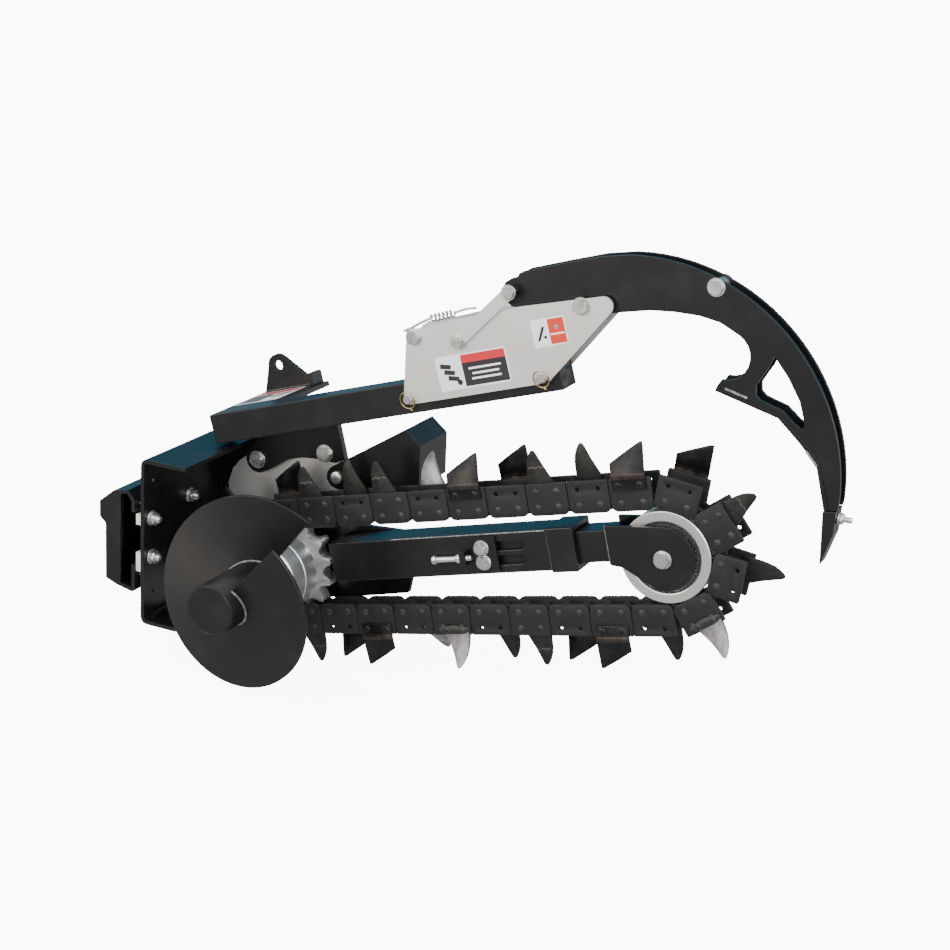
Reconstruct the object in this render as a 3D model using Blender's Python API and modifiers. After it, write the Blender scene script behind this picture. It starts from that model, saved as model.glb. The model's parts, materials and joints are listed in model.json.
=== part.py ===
"""Chain trencher attachment for a small skid-steer loader, as an assembly of separate solids.

Metres, +Z up.  The loader is at -X and the digging end at +X.  The origin is the middle of the
hitch plate's flat face, which the loader's quick-attach plate presses against.
All shafts, pivots and pins lie along Y.
"""
import math

import bmesh
import bpy
from mathutils import Matrix, Vector

# ---- driving dimensions ---------------------------------------------------------------------
GAP = 0.0003                 # between faces that touch on the real object
HOLE_SLACK = 0.0006          # radial play of a bolt or pin in its hole
SPIN_SLACK = 0.0010          # play beside a turning piece

# hitch and frame
HITCH_WIDTH = 0.556
HITCH_SHEET = 0.008
HITCH_DEPTH = 0.070
HITCH_TOP = 0.104
HITCH_BOTTOM = -0.110
HITCH_LIP = 0.014            # the hook above the flat face leans back over the loader's plate
LIP_LOW, LIP_HIGH = 0.030, 0.069
SPACER_DEPTH = 0.014
SPACERS = (("upper_spacer", 0.034, 0.057), ("lower_spacer", -0.065, -0.024))
WALL_SHEET = 0.008
FRAME_WIDTH = 0.556
FRAME_TOP = 0.175
FRAME_BOTTOM = -0.173
TOP_FLANGE = 0.096           # reach of the top flange in front of the wall
BOTTOM_FLANGE = 0.076
FRAME_CORNER = 0.014
BULKHEAD_SHEET = 0.012
WALL_BOLT_RADIUS = 0.008
WALL_BOLTS_Z = (0.0465, -0.035)
WALL_BOLTS_Y = FRAME_WIDTH / 2 - 0.025
LONE_BOLT_Y, LONE_BOLT_Z = -0.117, 0.057
HANGER_BOLTS = ((0.196, 0.128), (0.353, 0.171))
HANGER_BOLT_RADIUS = 0.009

# drive
DRIVE_X = 0.321
DRIVE_Z = -0.052
SHAFT_RADIUS = 0.022
BEARING_RADIUS = 0.040
HOUSING_RADIUS = 0.070
MOTOR_RADIUS = 0.052
MOTOR_LENGTH = 0.110
SPROCKET_TEETH = 14
SPROCKET_ADDENDUM = 0.008    # tooth tip above the pitch circle
HUB_RADIUS = 0.058
DRUM_RADIUS = 0.080          # ribbed drum that carries the auger
DRUM_RIBS = 14
AUGER_TUBE_RADIUS = 0.0505
AUGER_TUBE_WALL = 0.006
AUGER_RADIUS = 0.184
AUGER_PITCH = 0.155
AUGER_SHEET = 0.008
AUGER_START = math.radians(49.5)
AUGER_TURN = math.radians(356)
AUGER_NOSE = 0.024           # tube in front of the flight

# chain
CHAIN_PITCH = 0.042
CHAIN_PITCHES = 54
CHAIN_WIDTH = 0.056
CHAIN_PLATE = 0.008
CHAIN_PLATE_HEIGHT = 0.062
CHAIN_PIN_INSET = 0.016      # pin line above the plate's inner edge
CHAIN_ANGLE = math.radians(13.67)   # line from the drive axis to the idler axis
CHAIN_PHASE = 0.134          # place of the first pin along the path, in pitches
TOOTH_HEIGHT = 0.060
# tooth on each outer link, going round from the sprocket along the lower run: s shark, b blade
TOOTH_ORDER = "sbbssssbbssssbbssbbssssbbss"
IDLER_RADIUS = 0.088
AXLE_RADIUS = 0.012

# boom
BOOM_ANGLE = math.radians(15.2)
BOOM_SIDE = 0.078
BOOM_WALL = 0.0075
BOOM_FRONT = 0.046
COLLAR_LENGTH = 0.052
COLLAR_THICK = 0.004
INNER_SIDE = BOOM_SIDE - 2 * BOOM_WALL - 0.003
IDLER_WIDTH = INNER_SIDE - 0.002
INNER_WALL = 0.005
INNER_REAR = -0.210
FORK_SHEET = 0.010
FORK_RADIUS = 0.061
PAD_SHEET = 0.006
PAD_S = -0.143               # clamp bolts, along the boom
PAD_BOLT_RADIUS = 0.008
PAD_BOLT_SPREAD = 0.014
TENSION_TRAVEL = 0.012

# beam and crumber
BEAM_ANGLE = math.radians(18.13)
BEAM_SIDE = 0.060
BEAM_WALL = 0.005
BEAM_LENGTH = 0.780
BEAM_X = 0.1475              # middle of the beam's rear end
BEAM_Z = 0.2065
REAR_PIN_S = 0.4636          # pins, measured along the beam
FRONT_PIN_S = 0.7466
BRACKET_SHEET = 0.0057
PIN_EDGE = 0.0115            # bracket metal under the rear pin's centre
PIN_RADIUS = 0.008
ARM_SHEET = 0.008
ARM_WIDTH = 0.044            # over both arm plates
ARM_BOLT_RADIUS = 0.008
LINK_SHEET = 0.006
LINK_HALF = 0.012
SCOOP_SHEET = 0.008
# pivots and curves of the crumber and its bracket, as X and Z
ARM_PIVOT = (0.921, 0.581)
LINK_TOP = (0.781, 0.586)
LINK_FOOT = (0.685, 0.479)
SPRING_BOLT = (0.592, 0.472)
TIE_BOLT = (1.162, 0.649)
FLOAT_TRAVEL = 0.0085        # of the link's foot, in the bracket's slot
NOSE_ROUND = 0.017
CURVE_X, CURVE_Z, CURVE_RADIUS = 1.039, 0.304, 0.381
HOOK_X, HOOK_Z, HOOK_RADIUS = 1.191, 0.532, 0.044
SCOOP_PATH = ((1.180, 0.474), (1.243, 0.458), (1.299, 0.444), (1.342, 0.407), (1.379, 0.370), (1.402, 0.290))

TOP_PLATE_SHEET = 0.010
TOP_PLATE_LENGTH = 0.155
TOP_PLATE_REACH = 0.163
HANGER_SHEET = 0.015
SIDE_PLATE_SHEET = 0.0097
MOUNT_PLATE_SHEET = 0.0117
GUARD_SHEET = 0.004
GUARD_COVER = 0.116
GUARD_PIVOT = (0.391, 0.131)
GUARD_Y = -0.040

# planes across the machine (Y); the chain runs beside the middle of the hitch
CHAIN_Y = -0.092
SIDE_PLATE_Y = -0.0097       # near face of the pivot plate beside the motor

# ---- worked-out places ----------------------------------------------------------------------
WALL_X = HITCH_DEPTH + SPACER_DEPTH + WALL_SHEET            # the wall's open face
SPROCKET_RADIUS = CHAIN_PITCH / (2 * math.sin(math.pi / SPROCKET_TEETH))
IDLER_PIN_RADIUS = math.hypot(IDLER_RADIUS + GAP + CHAIN_PIN_INSET, CHAIN_PITCH / 2)
RADIUS_STEP = IDLER_PIN_RADIUS - SPROCKET_RADIUS
SPROCKET_STEP = 2 * math.asin(CHAIN_PITCH / 2 / SPROCKET_RADIUS)
IDLER_STEP = 2 * math.asin(CHAIN_PITCH / 2 / IDLER_PIN_RADIUS)


def free_run(tilt):
    """Length of one straight chain run, when the runs lean by tilt from the centre line."""
    wraps = (math.pi - 2 * tilt) / SPROCKET_STEP + (math.pi + 2 * tilt) / IDLER_STEP
    return (CHAIN_PITCHES - wraps) * CHAIN_PITCH / 2


RUN_TILT = math.atan(RADIUS_STEP / free_run(0.0))
RUN_LENGTH = free_run(RUN_TILT)
CENTRE_DISTANCE = math.hypot(RUN_LENGTH, RADIUS_STEP)
IDLER_X = DRIVE_X + CENTRE_DISTANCE * math.cos(CHAIN_ANGLE)
IDLER_Z = DRIVE_Z + CENTRE_DISTANCE * math.sin(CHAIN_ANGLE)
BOOM_REAR = 0.338 - CENTRE_DISTANCE          # along the boom, from the boom's reference point


class Line:
    """A place and a direction in the XZ plane: s runs along it and h square to it, upwards."""

    def __init__(self, x, z, angle):
        self.x, self.z, self.angle = x, z, angle
        self.c, self.s = math.cos(angle), math.sin(angle)

    def at(self, s, h):
        return (self.x + s * self.c - h * self.s, self.z + s * self.s + h * self.c)


# the boom's centre line passes above the idler axle
BOOM_LIFT = 0.029
BOOM_BACK = 0.216
BOOM = Line(IDLER_X - BOOM_BACK * math.cos(BOOM_ANGLE) - BOOM_LIFT * math.sin(BOOM_ANGLE),
            IDLER_Z - BOOM_BACK * math.sin(BOOM_ANGLE) + BOOM_LIFT * math.cos(BOOM_ANGLE), BOOM_ANGLE)
BEAM = Line(BEAM_X, BEAM_Z, BEAM_ANGLE)
REAR_PIN = BEAM.at(REAR_PIN_S, 0)
FRONT_PIN = BEAM.at(FRONT_PIN_S, 0)
BRACKET = Line(*REAR_PIN, BEAM_ANGLE)                       # bracket places, from the rear pin


# ---- helpers --------------------------------------------------------------------------------
for stale in list(bpy.data.objects):
    bpy.data.objects.remove(stale, do_unlink=True)

parts = bpy.data.collections.new("trencher")
cutters = bpy.data.collections.new("cutters")
bpy.context.scene.collection.children.link(parts)
bpy.context.scene.collection.children.link(cutters)


def finish_material(name, colour, roughness, metallic):
    material = bpy.data.materials.new(name)
    material.use_nodes = True
    shader = material.node_tree.nodes["Principled BSDF"]
    shader.inputs["Base Color"].default_value = (*colour, 1)
    shader.inputs["Roughness"].default_value = roughness
    shader.inputs["Metallic"].default_value = metallic
    material.diffuse_color = (*colour, 1)
    return material


FINISHES = {
    "black": ((0.018, 0.018, 0.020), 0.42, 0.0),
    "zinc": ((0.72, 0.71, 0.68), 0.34, 0.95),
    "steel": ((0.30, 0.29, 0.28), 0.45, 0.90),
    "bolt": ((0.66, 0.65, 0.62), 0.30, 1.0),
    "iron": ((0.10, 0.10, 0.10), 0.55, 0.6),
}


def add(obj, finish):
    """Give a finished solid its own material and list it among the parts."""
    for collection in list(obj.users_collection):
        collection.objects.unlink(obj)
    parts.objects.link(obj)
    obj.data.materials.clear()
    obj.data.materials.append(finish_material(obj.name, *FINISHES[finish]))
    return obj


def hide_cutter(obj):
    for collection in list(obj.users_collection):
        collection.objects.unlink(obj)
    cutters.objects.link(obj)
    obj.hide_render = True
    obj.display_type = "WIRE"
    return obj


def bake(obj):
    """Turn a curve, or an object with modifiers, into a plain mesh object in world space."""
    bpy.context.view_layer.update()
    evaluated = obj.evaluated_get(bpy.context.evaluated_depsgraph_get())
    mesh = bpy.data.meshes.new_from_object(evaluated)
    mesh.transform(obj.matrix_world)
    name = obj.name
    bpy.data.objects.remove(obj, do_unlink=True)
    sheet = bmesh.new()
    sheet.from_mesh(mesh)
    bmesh.ops.remove_doubles(sheet, verts=sheet.verts, dist=0.00001)
    bmesh.ops.recalc_face_normals(sheet, faces=sheet.faces)
    sheet.to_mesh(mesh)
    sheet.free()
    solid = bpy.data.objects.new(name, mesh)
    bpy.context.scene.collection.objects.link(solid)
    return solid


def plate(name, outline, y_low, y_high, holes=()):
    """A flat plate in the XZ plane between two Y planes, with holes given as outlines."""
    curve = bpy.data.curves.new(name, "CURVE")
    curve.dimensions = "2D"
    curve.fill_mode = "BOTH"
    curve.extrude = (y_high - y_low) / 2
    for ring in (outline, *holes):
        spline = curve.splines.new("POLY")
        spline.points.add(len(ring) - 1)
        for point, (x, z) in zip(spline.points, ring):
            point.co = (x, z, 0, 1)
        spline.use_cyclic_u = True
    obj = bpy.data.objects.new(name, curve)
    bpy.context.scene.collection.objects.link(obj)
    obj.rotation_euler = (math.pi / 2, 0, 0)
    obj.location = (0, (y_low + y_high) / 2, 0)
    return bake(obj)


def arc(x, z, radius, start, end, steps):
    """Points on an arc in the XZ plane, angles in degrees."""
    angles = [math.radians(start + (end - start) * i / steps) for i in range(steps + 1)]
    return [(x + radius * math.cos(a), z + radius * math.sin(a)) for a in angles]


def circle(x, z, radius, sides=16):
    return arc(x, z, radius, 0, 360, sides)[:-1]


def slot(start, end, radius, steps=6):
    """A slot's outline between two centres."""
    turn = math.degrees(math.atan2(end[1] - start[1], end[0] - start[0]))
    return (arc(*start, radius, turn + 90, turn + 270, steps)
            + arc(*end, radius, turn - 90, turn + 90, steps))


def hexagon(x, z, radius):
    return circle(x, z, radius, 6)


def box(name, line, s, h, y):
    """A block along a line: s, h and y are (low, high) pairs."""
    bpy.ops.mesh.primitive_cube_add(size=1)
    obj = bpy.context.object
    obj.name = name
    x, z = line.at((s[0] + s[1]) / 2, (h[0] + h[1]) / 2)
    obj.dimensions = (s[1] - s[0], y[1] - y[0], h[1] - h[0])
    obj.location = (x, (y[0] + y[1]) / 2, z)
    obj.rotation_euler = (0, -line.angle, 0)
    return bake(obj)


def rod_y(name, x, z, radius, y_low, y_high, sides=16):
    """A round bar along Y."""
    bpy.ops.mesh.primitive_cylinder_add(vertices=sides, radius=radius, depth=y_high - y_low)
    obj = bpy.context.object
    obj.name = name
    obj.rotation_euler = (math.pi / 2, 0, 0)
    obj.location = (x, (y_low + y_high) / 2, z)
    return bake(obj)


def turned(name, x, z, profile, sides=40):
    """A closed profile of (radius, y) points turned about an axis along Y."""
    mesh = bpy.data.meshes.new(name)
    points = [(radius, 0, along) for radius, along in profile]
    count = len(points)
    mesh.from_pydata(points, [(i, (i + 1) % count) for i in range(count)], [])
    obj = bpy.data.objects.new(name, mesh)
    bpy.context.scene.collection.objects.link(obj)
    screw = obj.modifiers.new("turn", "SCREW")
    screw.axis = "Z"
    screw.angle = math.tau
    screw.steps = sides
    screw.render_steps = sides
    screw.use_merge_vertices = True
    screw.merge_threshold = 0.00001
    # the profile's own axis is Z; this lays it along Y
    obj.rotation_euler = (-math.pi / 2, 0, 0)
    obj.location = (x, 0, z)
    return bake(obj)


def combine(base, others, operation="UNION"):
    """Join other solids to a base, or cut them from it, and drop them."""
    for other in others:
        boolean = base.modifiers.new("boolean", "BOOLEAN")
        boolean.operation = operation
        boolean.solver = "EXACT"
        boolean.object = hide_cutter(other)
    base = bake(base)
    for other in others:
        bpy.data.objects.remove(other, do_unlink=True)
    return base


def axis_at(obj, x, z, y=0.0, matrix=None):
    """Put a moving piece's origin on its joint axis, leaving its shape where it is."""
    place = matrix or Matrix.Translation((x, y, z))
    obj.data.transform(place.inverted())
    obj.matrix_world = place
    return obj


def bolt_y(name, x, z, radius, y_head, y_end, head_height, nut_height=0.0, spread=1.85):
    """A hexagon bolt along Y, its head towards -Y; y_head is the seat under the head."""
    pieces = [plate(name + "_head", hexagon(x, z, radius * spread), y_head - head_height, y_head)]
    if nut_height:
        pieces.append(plate(name + "_nut", hexagon(x, z, radius * spread), y_end, y_end + nut_height))
    shank_end = y_end + nut_height
    shank = rod_y(name, x, z, radius, y_head - head_height / 2, shank_end + radius * 0.5)
    return combine(shank, pieces)


def hole(x, z, radius, sides=16):
    """A hole's outline for a round bar of this radius."""
    return circle(x, z, (radius + HOLE_SLACK) / math.cos(math.pi / sides), sides)


# ---- hitch ----------------------------------------------------------------------------------
def build_hitch():
    """Folded quick-attach plate with a hooked lip, and its two end plates."""
    outer = [(HITCH_DEPTH, 0.060), (HITCH_DEPTH, HITCH_TOP - 0.020), (0.054, HITCH_TOP), (0.020, 0.097),
             (-HITCH_LIP, LIP_HIGH), (-HITCH_LIP, LIP_LOW + 0.006), (0.0, LIP_LOW - 0.006),
             (0.0, HITCH_BOTTOM + 0.017), (0.029, HITCH_BOTTOM + 0.007), (HITCH_DEPTH - 0.006, HITCH_BOTTOM),
             (HITCH_DEPTH, HITCH_BOTTOM + 0.006), (HITCH_DEPTH, HITCH_BOTTOM + 0.060)]
    middle = Vector((HITCH_DEPTH * 0.62, -0.005))
    inner = []
    for i, point in enumerate(outer):
        before = Vector(outer[max(i - 1, 0)])
        after = Vector(outer[min(i + 1, len(outer) - 1)])
        along = (after - before).normalized()
        inward = Vector((along.y, -along.x))
        if inward.dot(middle - Vector(point)) < 0:
            inward = -inward
        inner.append(tuple(Vector(point) + inward * HITCH_SHEET))
    half = HITCH_WIDTH / 2
    sheet = plate("hitch_plate", outer + inner[::-1], -half, half)
    end_outline = [(0.004, HITCH_BOTTOM + 0.021), (0.030, HITCH_BOTTOM + 0.012), (0.034, 0.092),
                   (0.020, 0.093), (-HITCH_LIP + 0.004, LIP_HIGH - 0.002),
                   (-HITCH_LIP + 0.004, LIP_LOW + 0.008), (0.004, LIP_LOW - 0.004)]
    ends = [plate("end", end_outline, side * (half - 0.010) - 0.004, side * (half - 0.010) + 0.004)
            for side in (-1, 1)]
    add(combine(sheet, ends), "black")


def rod_x(name, y, z, radius, x_low, x_high, sides=16):
    bpy.ops.mesh.primitive_cylinder_add(vertices=sides, radius=radius, depth=x_high - x_low)
    obj = bpy.context.object
    obj.name = name
    obj.rotation_euler = (0, math.pi / 2, 0)
    obj.location = ((x_low + x_high) / 2, y, z)
    return bake(obj)


def build_spacers():
    """Bright bars that hold the frame off the hitch plate, and the bolts through them."""
    plain = Line(0, 0, 0)
    reach = HITCH_WIDTH / 2 - 0.004
    for (name, low, high), z in zip(SPACERS, WALL_BOLTS_Z):
        bar = box(name, plain, (HITCH_DEPTH + GAP, HITCH_DEPTH + SPACER_DEPTH - GAP), (low, high),
                  (-reach, reach))
        cuts = [rod_x("cut", side * WALL_BOLTS_Y, z, WALL_BOLT_RADIUS + HOLE_SLACK, 0.06, 0.10)
                for side in (-1, 1)]
        add(combine(bar, cuts, "DIFFERENCE"), "zinc")
    for level, z in zip(("upper", "lower"), WALL_BOLTS_Z):
        for side_name, side in (("near", -1), ("far", 1)):
            y = side * WALL_BOLTS_Y
            shank = rod_x("wall_bolt_%s_%s" % (level, side_name), y, z, WALL_BOLT_RADIUS,
                          HITCH_DEPTH + GAP * 2, WALL_X + 0.022)
            nut = rod_x("nut", y, z, WALL_BOLT_RADIUS * 1.85, WALL_X + GAP, WALL_X + 0.014, 6)
            add(combine(shank, [nut]), "bolt")


# ---- frame ----------------------------------------------------------------------------------
BULKHEAD_Y = (SIDE_PLATE_Y + SIDE_PLATE_SHEET + GAP, SIDE_PLATE_Y + SIDE_PLATE_SHEET + GAP + BULKHEAD_SHEET)
NOTCH_X = WALL_X + 0.026
NOTCH_Y = (CHAIN_Y - 0.105, CHAIN_Y + 0.080)


def build_frame():
    """Channel across the machine, open at the digging side, with a bulkhead for the motor."""
    back = WALL_X - WALL_SHEET
    top_reach = WALL_X + TOP_FLANGE
    bottom_reach = WALL_X + BOTTOM_FLANGE
    r = FRAME_CORNER
    outline = ([(top_reach, FRAME_TOP)] + arc(back + r, FRAME_TOP - r, r, 90, 180, 3)
               + arc(back + r, FRAME_BOTTOM + r, r, 180, 270, 3)
               + [(bottom_reach, FRAME_BOTTOM), (bottom_reach, FRAME_BOTTOM + WALL_SHEET)]
               + arc(back + r, FRAME_BOTTOM + r, r - WALL_SHEET, 270, 180, 3)
               + arc(back + r, FRAME_TOP - r, r - WALL_SHEET, 180, 90, 3)
               + [(top_reach, FRAME_TOP - WALL_SHEET)])
    half = FRAME_WIDTH / 2
    channel = plate("frame", outline, -half, half)
    bulkhead_outline = [(WALL_X - 0.004, FRAME_BOTTOM + 0.004), (WALL_X + BOTTOM_FLANGE - 0.006, FRAME_BOTTOM + 0.004),
                        (DRIVE_X, DRIVE_Z - HOUSING_RADIUS - 0.020), (DRIVE_X + 0.085, DRIVE_Z - 0.055),
                        (DRIVE_X + 0.095, DRIVE_Z + 0.040), (DRIVE_X + 0.039, 0.140),
                        (WALL_X + TOP_FLANGE - 0.004, FRAME_TOP - 0.004), (WALL_X - 0.004, FRAME_TOP - 0.004)]
    bulkhead = plate("bulkhead", bulkhead_outline, *BULKHEAD_Y,
                     [hole(DRIVE_X, DRIVE_Z, SHAFT_RADIUS + 0.003), hole(*HANGER_BOLTS[0], HANGER_BOLT_RADIUS)])
    plain = Line(0, 0, 0)
    cuts = [box("notch", plain, (NOTCH_X, WALL_X + 0.2), (FRAME_BOTTOM - 0.01, FRAME_BOTTOM + 0.02), NOTCH_Y)]
    for side in (-1, 1):
        for z in WALL_BOLTS_Z:
            cuts.append(rod_x("cut", side * WALL_BOLTS_Y, z, WALL_BOLT_RADIUS + HOLE_SLACK, 0.05, 0.12, 12))
        for z in (0.124, -0.111):
            cuts.append(rod_x("cut", side * (WALL_BOLTS_Y - 0.007), z, 0.005, 0.05, 0.12, 10))
    cuts.append(rod_x("cut", LONE_BOLT_Y, LONE_BOLT_Z, WALL_BOLT_RADIUS + HOLE_SLACK, 0.05, 0.12))
    add(combine(combine(channel, [bulkhead]), cuts, "DIFFERENCE"), "black")
    shank = rod_x("wall_bolt_middle", LONE_BOLT_Y, LONE_BOLT_Z, WALL_BOLT_RADIUS, WALL_X - WALL_SHEET + 0.001,
                  WALL_X + 0.022)
    nut = rod_x("nut", LONE_BOLT_Y, LONE_BOLT_Z, WALL_BOLT_RADIUS * 1.85, WALL_X + GAP, WALL_X + 0.014, 6)
    add(combine(shank, [nut]), "bolt")


# ---- drive ----------------------------------------------------------------------------------
HOUSING_Y = (CHAIN_Y + CHAIN_WIDTH / 2 + 0.0233, SIDE_PLATE_Y + SIDE_PLATE_SHEET)
SPROCKET_HALF = CHAIN_WIDTH / 2 - CHAIN_PLATE - 0.002
HUB_END = CHAIN_Y + CHAIN_WIDTH / 2 + 0.004
DRUM_Y = (-0.2130, CHAIN_Y - CHAIN_WIDTH / 2 - 0.004)
AUGER_END = DRUM_Y[0] - GAP


def star(radius, depth, count, start, width):
    """A toothed outline: count teeth of this depth, each as wide as width of its share."""
    points = []
    for i in range(count):
        middle = start + i * math.tau / count
        half = math.pi / count
        for share, inset in ((-0.55 - width, depth), (-width, 0.0), (width, 0.0), (0.55 + width, depth)):
            angle = middle + share * half
            reach = radius - inset
            points.append((DRIVE_X + reach * math.cos(angle), DRIVE_Z + reach * math.sin(angle)))
    return points


def build_drive():
    """Motor, shaft and bearing, the chain sprocket with its ribbed drum, and the auger."""
    motor_start = BULKHEAD_Y[1] + GAP
    flange = plate("flange", [(DRIVE_X + 0.056, DRIVE_Z + 0.056), (DRIVE_X - 0.056, DRIVE_Z + 0.056),
                              (DRIVE_X - 0.056, DRIVE_Z - 0.056), (DRIVE_X + 0.056, DRIVE_Z - 0.056)],
                   motor_start, motor_start + 0.014)
    body = turned("hydraulic_motor", DRIVE_X, DRIVE_Z,
                  [(0, motor_start), (0.030, motor_start), (0.034, motor_start + 0.010),
                   (MOTOR_RADIUS, motor_start + 0.012), (MOTOR_RADIUS, motor_start + MOTOR_LENGTH - 0.006),
                   (MOTOR_RADIUS - 0.006, motor_start + MOTOR_LENGTH), (0, motor_start + MOTOR_LENGTH)], 24)
    add(combine(body, [flange]), "iron")
    for name, offset in (("port_fitting_a", 0.040), ("port_fitting_b", 0.080)):
        fitting = rod_x(name, motor_start + offset, DRIVE_Z + 0.016, 0.013,
                        DRIVE_X - MOTOR_RADIUS - 0.030, DRIVE_X - MOTOR_RADIUS - 0.0005, 12)
        add(fitting, "bolt")
    shaft = rod_y("drive_shaft", DRIVE_X, DRIVE_Z, SHAFT_RADIUS, HUB_END + GAP, motor_start - GAP, 24)
    add(axis_at(shaft, DRIVE_X, DRIVE_Z), "steel")
    bearing_y = (HOUSING_Y[0] + 0.004, HOUSING_Y[1] - 0.006)
    bearing = turned("shaft_bearing", DRIVE_X, DRIVE_Z,
                     [(SHAFT_RADIUS + SPIN_SLACK, bearing_y[0]), (BEARING_RADIUS, bearing_y[0]),
                      (BEARING_RADIUS, bearing_y[1]), (SHAFT_RADIUS + SPIN_SLACK, bearing_y[1])], 24)
    add(bearing, "steel")
    housing = turned("bearing_housing", DRIVE_X, DRIVE_Z,
                     [(BEARING_RADIUS + HOLE_SLACK, HOUSING_Y[0]), (HOUSING_RADIUS, HOUSING_Y[0]),
                      (HOUSING_RADIUS, HOUSING_Y[1]), (BEARING_RADIUS + HOLE_SLACK, HOUSING_Y[1])], 32)
    add(housing, "black")

    pitch_start = math.radians(-3.5)
    teeth = plate("teeth", star(SPROCKET_RADIUS + SPROCKET_ADDENDUM, 0.024, SPROCKET_TEETH, pitch_start, 0.20),
                  CHAIN_Y - SPROCKET_HALF, CHAIN_Y + SPROCKET_HALF)
    seam = (DRUM_Y[0] + DRUM_Y[1]) / 2
    rings = [plate("ring", star(DRUM_RADIUS, 0.016, DRUM_RIBS, pitch_start, 0.16), low, high)
             for low, high in ((DRUM_Y[0], seam - 0.001), (seam + 0.001, DRUM_Y[1]))]
    hub = rod_y("sprocket", DRIVE_X, DRIVE_Z, HUB_RADIUS, DRUM_Y[0] + 0.001, HUB_END, 24)
    add(axis_at(combine(hub, [teeth, *rings]), DRIVE_X, DRIVE_Z), "zinc")

    cap_y = AUGER_END - AUGER_PITCH - AUGER_NOSE
    inner = AUGER_TUBE_RADIUS - AUGER_TUBE_WALL
    tube = turned("auger", DRIVE_X, DRIVE_Z,
                  [(0, cap_y), (AUGER_TUBE_RADIUS - 0.002, cap_y), (AUGER_TUBE_RADIUS, cap_y + 0.002),
                   (AUGER_TUBE_RADIUS, AUGER_END), (inner, AUGER_END), (inner, cap_y + 0.010), (0, cap_y + 0.010)], 32)
    add(axis_at(combine(tube, [build_flight(cap_y + AUGER_NOSE)]), DRIVE_X, DRIVE_Z), "black")


def build_flight(y_start):
    """One turn of auger flight, lofted between a radial line at the tube and one at the rim."""
    steps = 36
    root = AUGER_TUBE_RADIUS - AUGER_TUBE_WALL / 2
    reach = AUGER_PITCH - AUGER_SHEET - GAP
    mesh = bpy.data.meshes.new("flight")
    shape = bmesh.new()
    rows = []
    for i in range(steps + 1):
        share = i / steps
        angle = AUGER_START - AUGER_TURN * share
        y = y_start + reach * share
        row = []
        for radius, offset in ((root, 0), (AUGER_RADIUS, 0), (AUGER_RADIUS, AUGER_SHEET), (root, AUGER_SHEET)):
            row.append(shape.verts.new((DRIVE_X + radius * math.cos(angle), y + offset,
                                        DRIVE_Z + radius * math.sin(angle))))
        rows.append(row)
    for before, after in zip(rows, rows[1:]):
        for i in range(4):
            j = (i + 1) % 4
            shape.faces.new((before[i], before[j], after[j], after[i]))
    shape.faces.new(rows[0])
    shape.faces.new(rows[-1])
    bmesh.ops.recalc_face_normals(shape, faces=shape.faces)
    shape.to_mesh(mesh)
    shape.free()
    obj = bpy.data.objects.new("flight", mesh)
    bpy.context.scene.collection.objects.link(obj)
    return obj


# ---- chain ----------------------------------------------------------------------------------
def chain_place(t):
    """A point on the pin path, t in pitches from the lower tangent point at the sprocket."""
    run = RUN_LENGTH / CHAIN_PITCH
    nose = (math.pi + 2 * RUN_TILT) / IDLER_STEP
    t %= CHAIN_PITCHES
    low = CHAIN_ANGLE - RUN_TILT
    high = CHAIN_ANGLE + RUN_TILT
    start = (DRIVE_X + SPROCKET_RADIUS * math.sin(low), DRIVE_Z - SPROCKET_RADIUS * math.cos(low))
    end = (IDLER_X - IDLER_PIN_RADIUS * math.sin(high), IDLER_Z + IDLER_PIN_RADIUS * math.cos(high))
    if t < run:
        d = t * CHAIN_PITCH
        return (start[0] + d * math.cos(low), start[1] + d * math.sin(low))
    t -= run
    if t < nose:
        a = low - math.pi / 2 + t * IDLER_STEP
        return (IDLER_X + IDLER_PIN_RADIUS * math.cos(a), IDLER_Z + IDLER_PIN_RADIUS * math.sin(a))
    t -= nose
    if t < run:
        d = t * CHAIN_PITCH
        return (end[0] - d * math.cos(high), end[1] - d * math.sin(high))
    t -= run
    a = high + math.pi / 2 + t * SPROCKET_STEP
    return (DRIVE_X + SPROCKET_RADIUS * math.cos(a), DRIVE_Z + SPROCKET_RADIUS * math.sin(a))


def link_line(k):
    """The line of outer link k: s along the chain's way round, h inwards to the loop."""
    a = chain_place(CHAIN_PHASE + 2 * k)
    b = chain_place(CHAIN_PHASE + 2 * k + 1)
    return Line((a[0] + b[0]) / 2, (a[1] + b[1]) / 2, math.atan2(b[1] - a[1], b[0] - a[0]))


def tooth_outline(kind):
    """Corners of a tooth above a link's outer edge: place along the link, height."""
    if kind == "b":
        corners = [(-0.027, 0.0), (-0.030, 0.50), (-0.023, 0.92), (-0.012, 0.88), (0.026, 0.22), (0.030, 0.0)]
    else:
        corners = [(-0.012, 0.0), (-0.003, 0.26), (0.006, 0.60), (0.017, 0.98), (0.026, 1.0), (0.034, 0.55),
                   (0.037, 0.0)]
    return [(s, height * TOOTH_HEIGHT) for s, height in corners]


def link_plate(line, side, kind):
    """One outer side plate with rounded inner corners and, if kind is set, its tooth."""
    half = CHAIN_PITCH - 0.0006
    inner = CHAIN_PIN_INSET
    outer = inner - CHAIN_PLATE_HEIGHT
    r = CHAIN_PIN_INSET
    points = arc(half - r, inner - r, r, 0, 90, 2) + arc(-half + r, inner - r, r, 90, 180, 2)
    points.append((-half, outer))
    if kind:
        points += [(s, outer - height) for s, height in tooth_outline(kind)]
    points.append((half, outer))
    outline = [line.at(s, h) for s, h in points]
    if side < 0:
        return plate("link_plate", outline, CHAIN_Y - CHAIN_WIDTH / 2, CHAIN_Y - CHAIN_WIDTH / 2 + CHAIN_PLATE)
    return plate("link_plate", outline, CHAIN_Y + CHAIN_WIDTH / 2 - CHAIN_PLATE, CHAIN_Y + CHAIN_WIDTH / 2)


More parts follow.
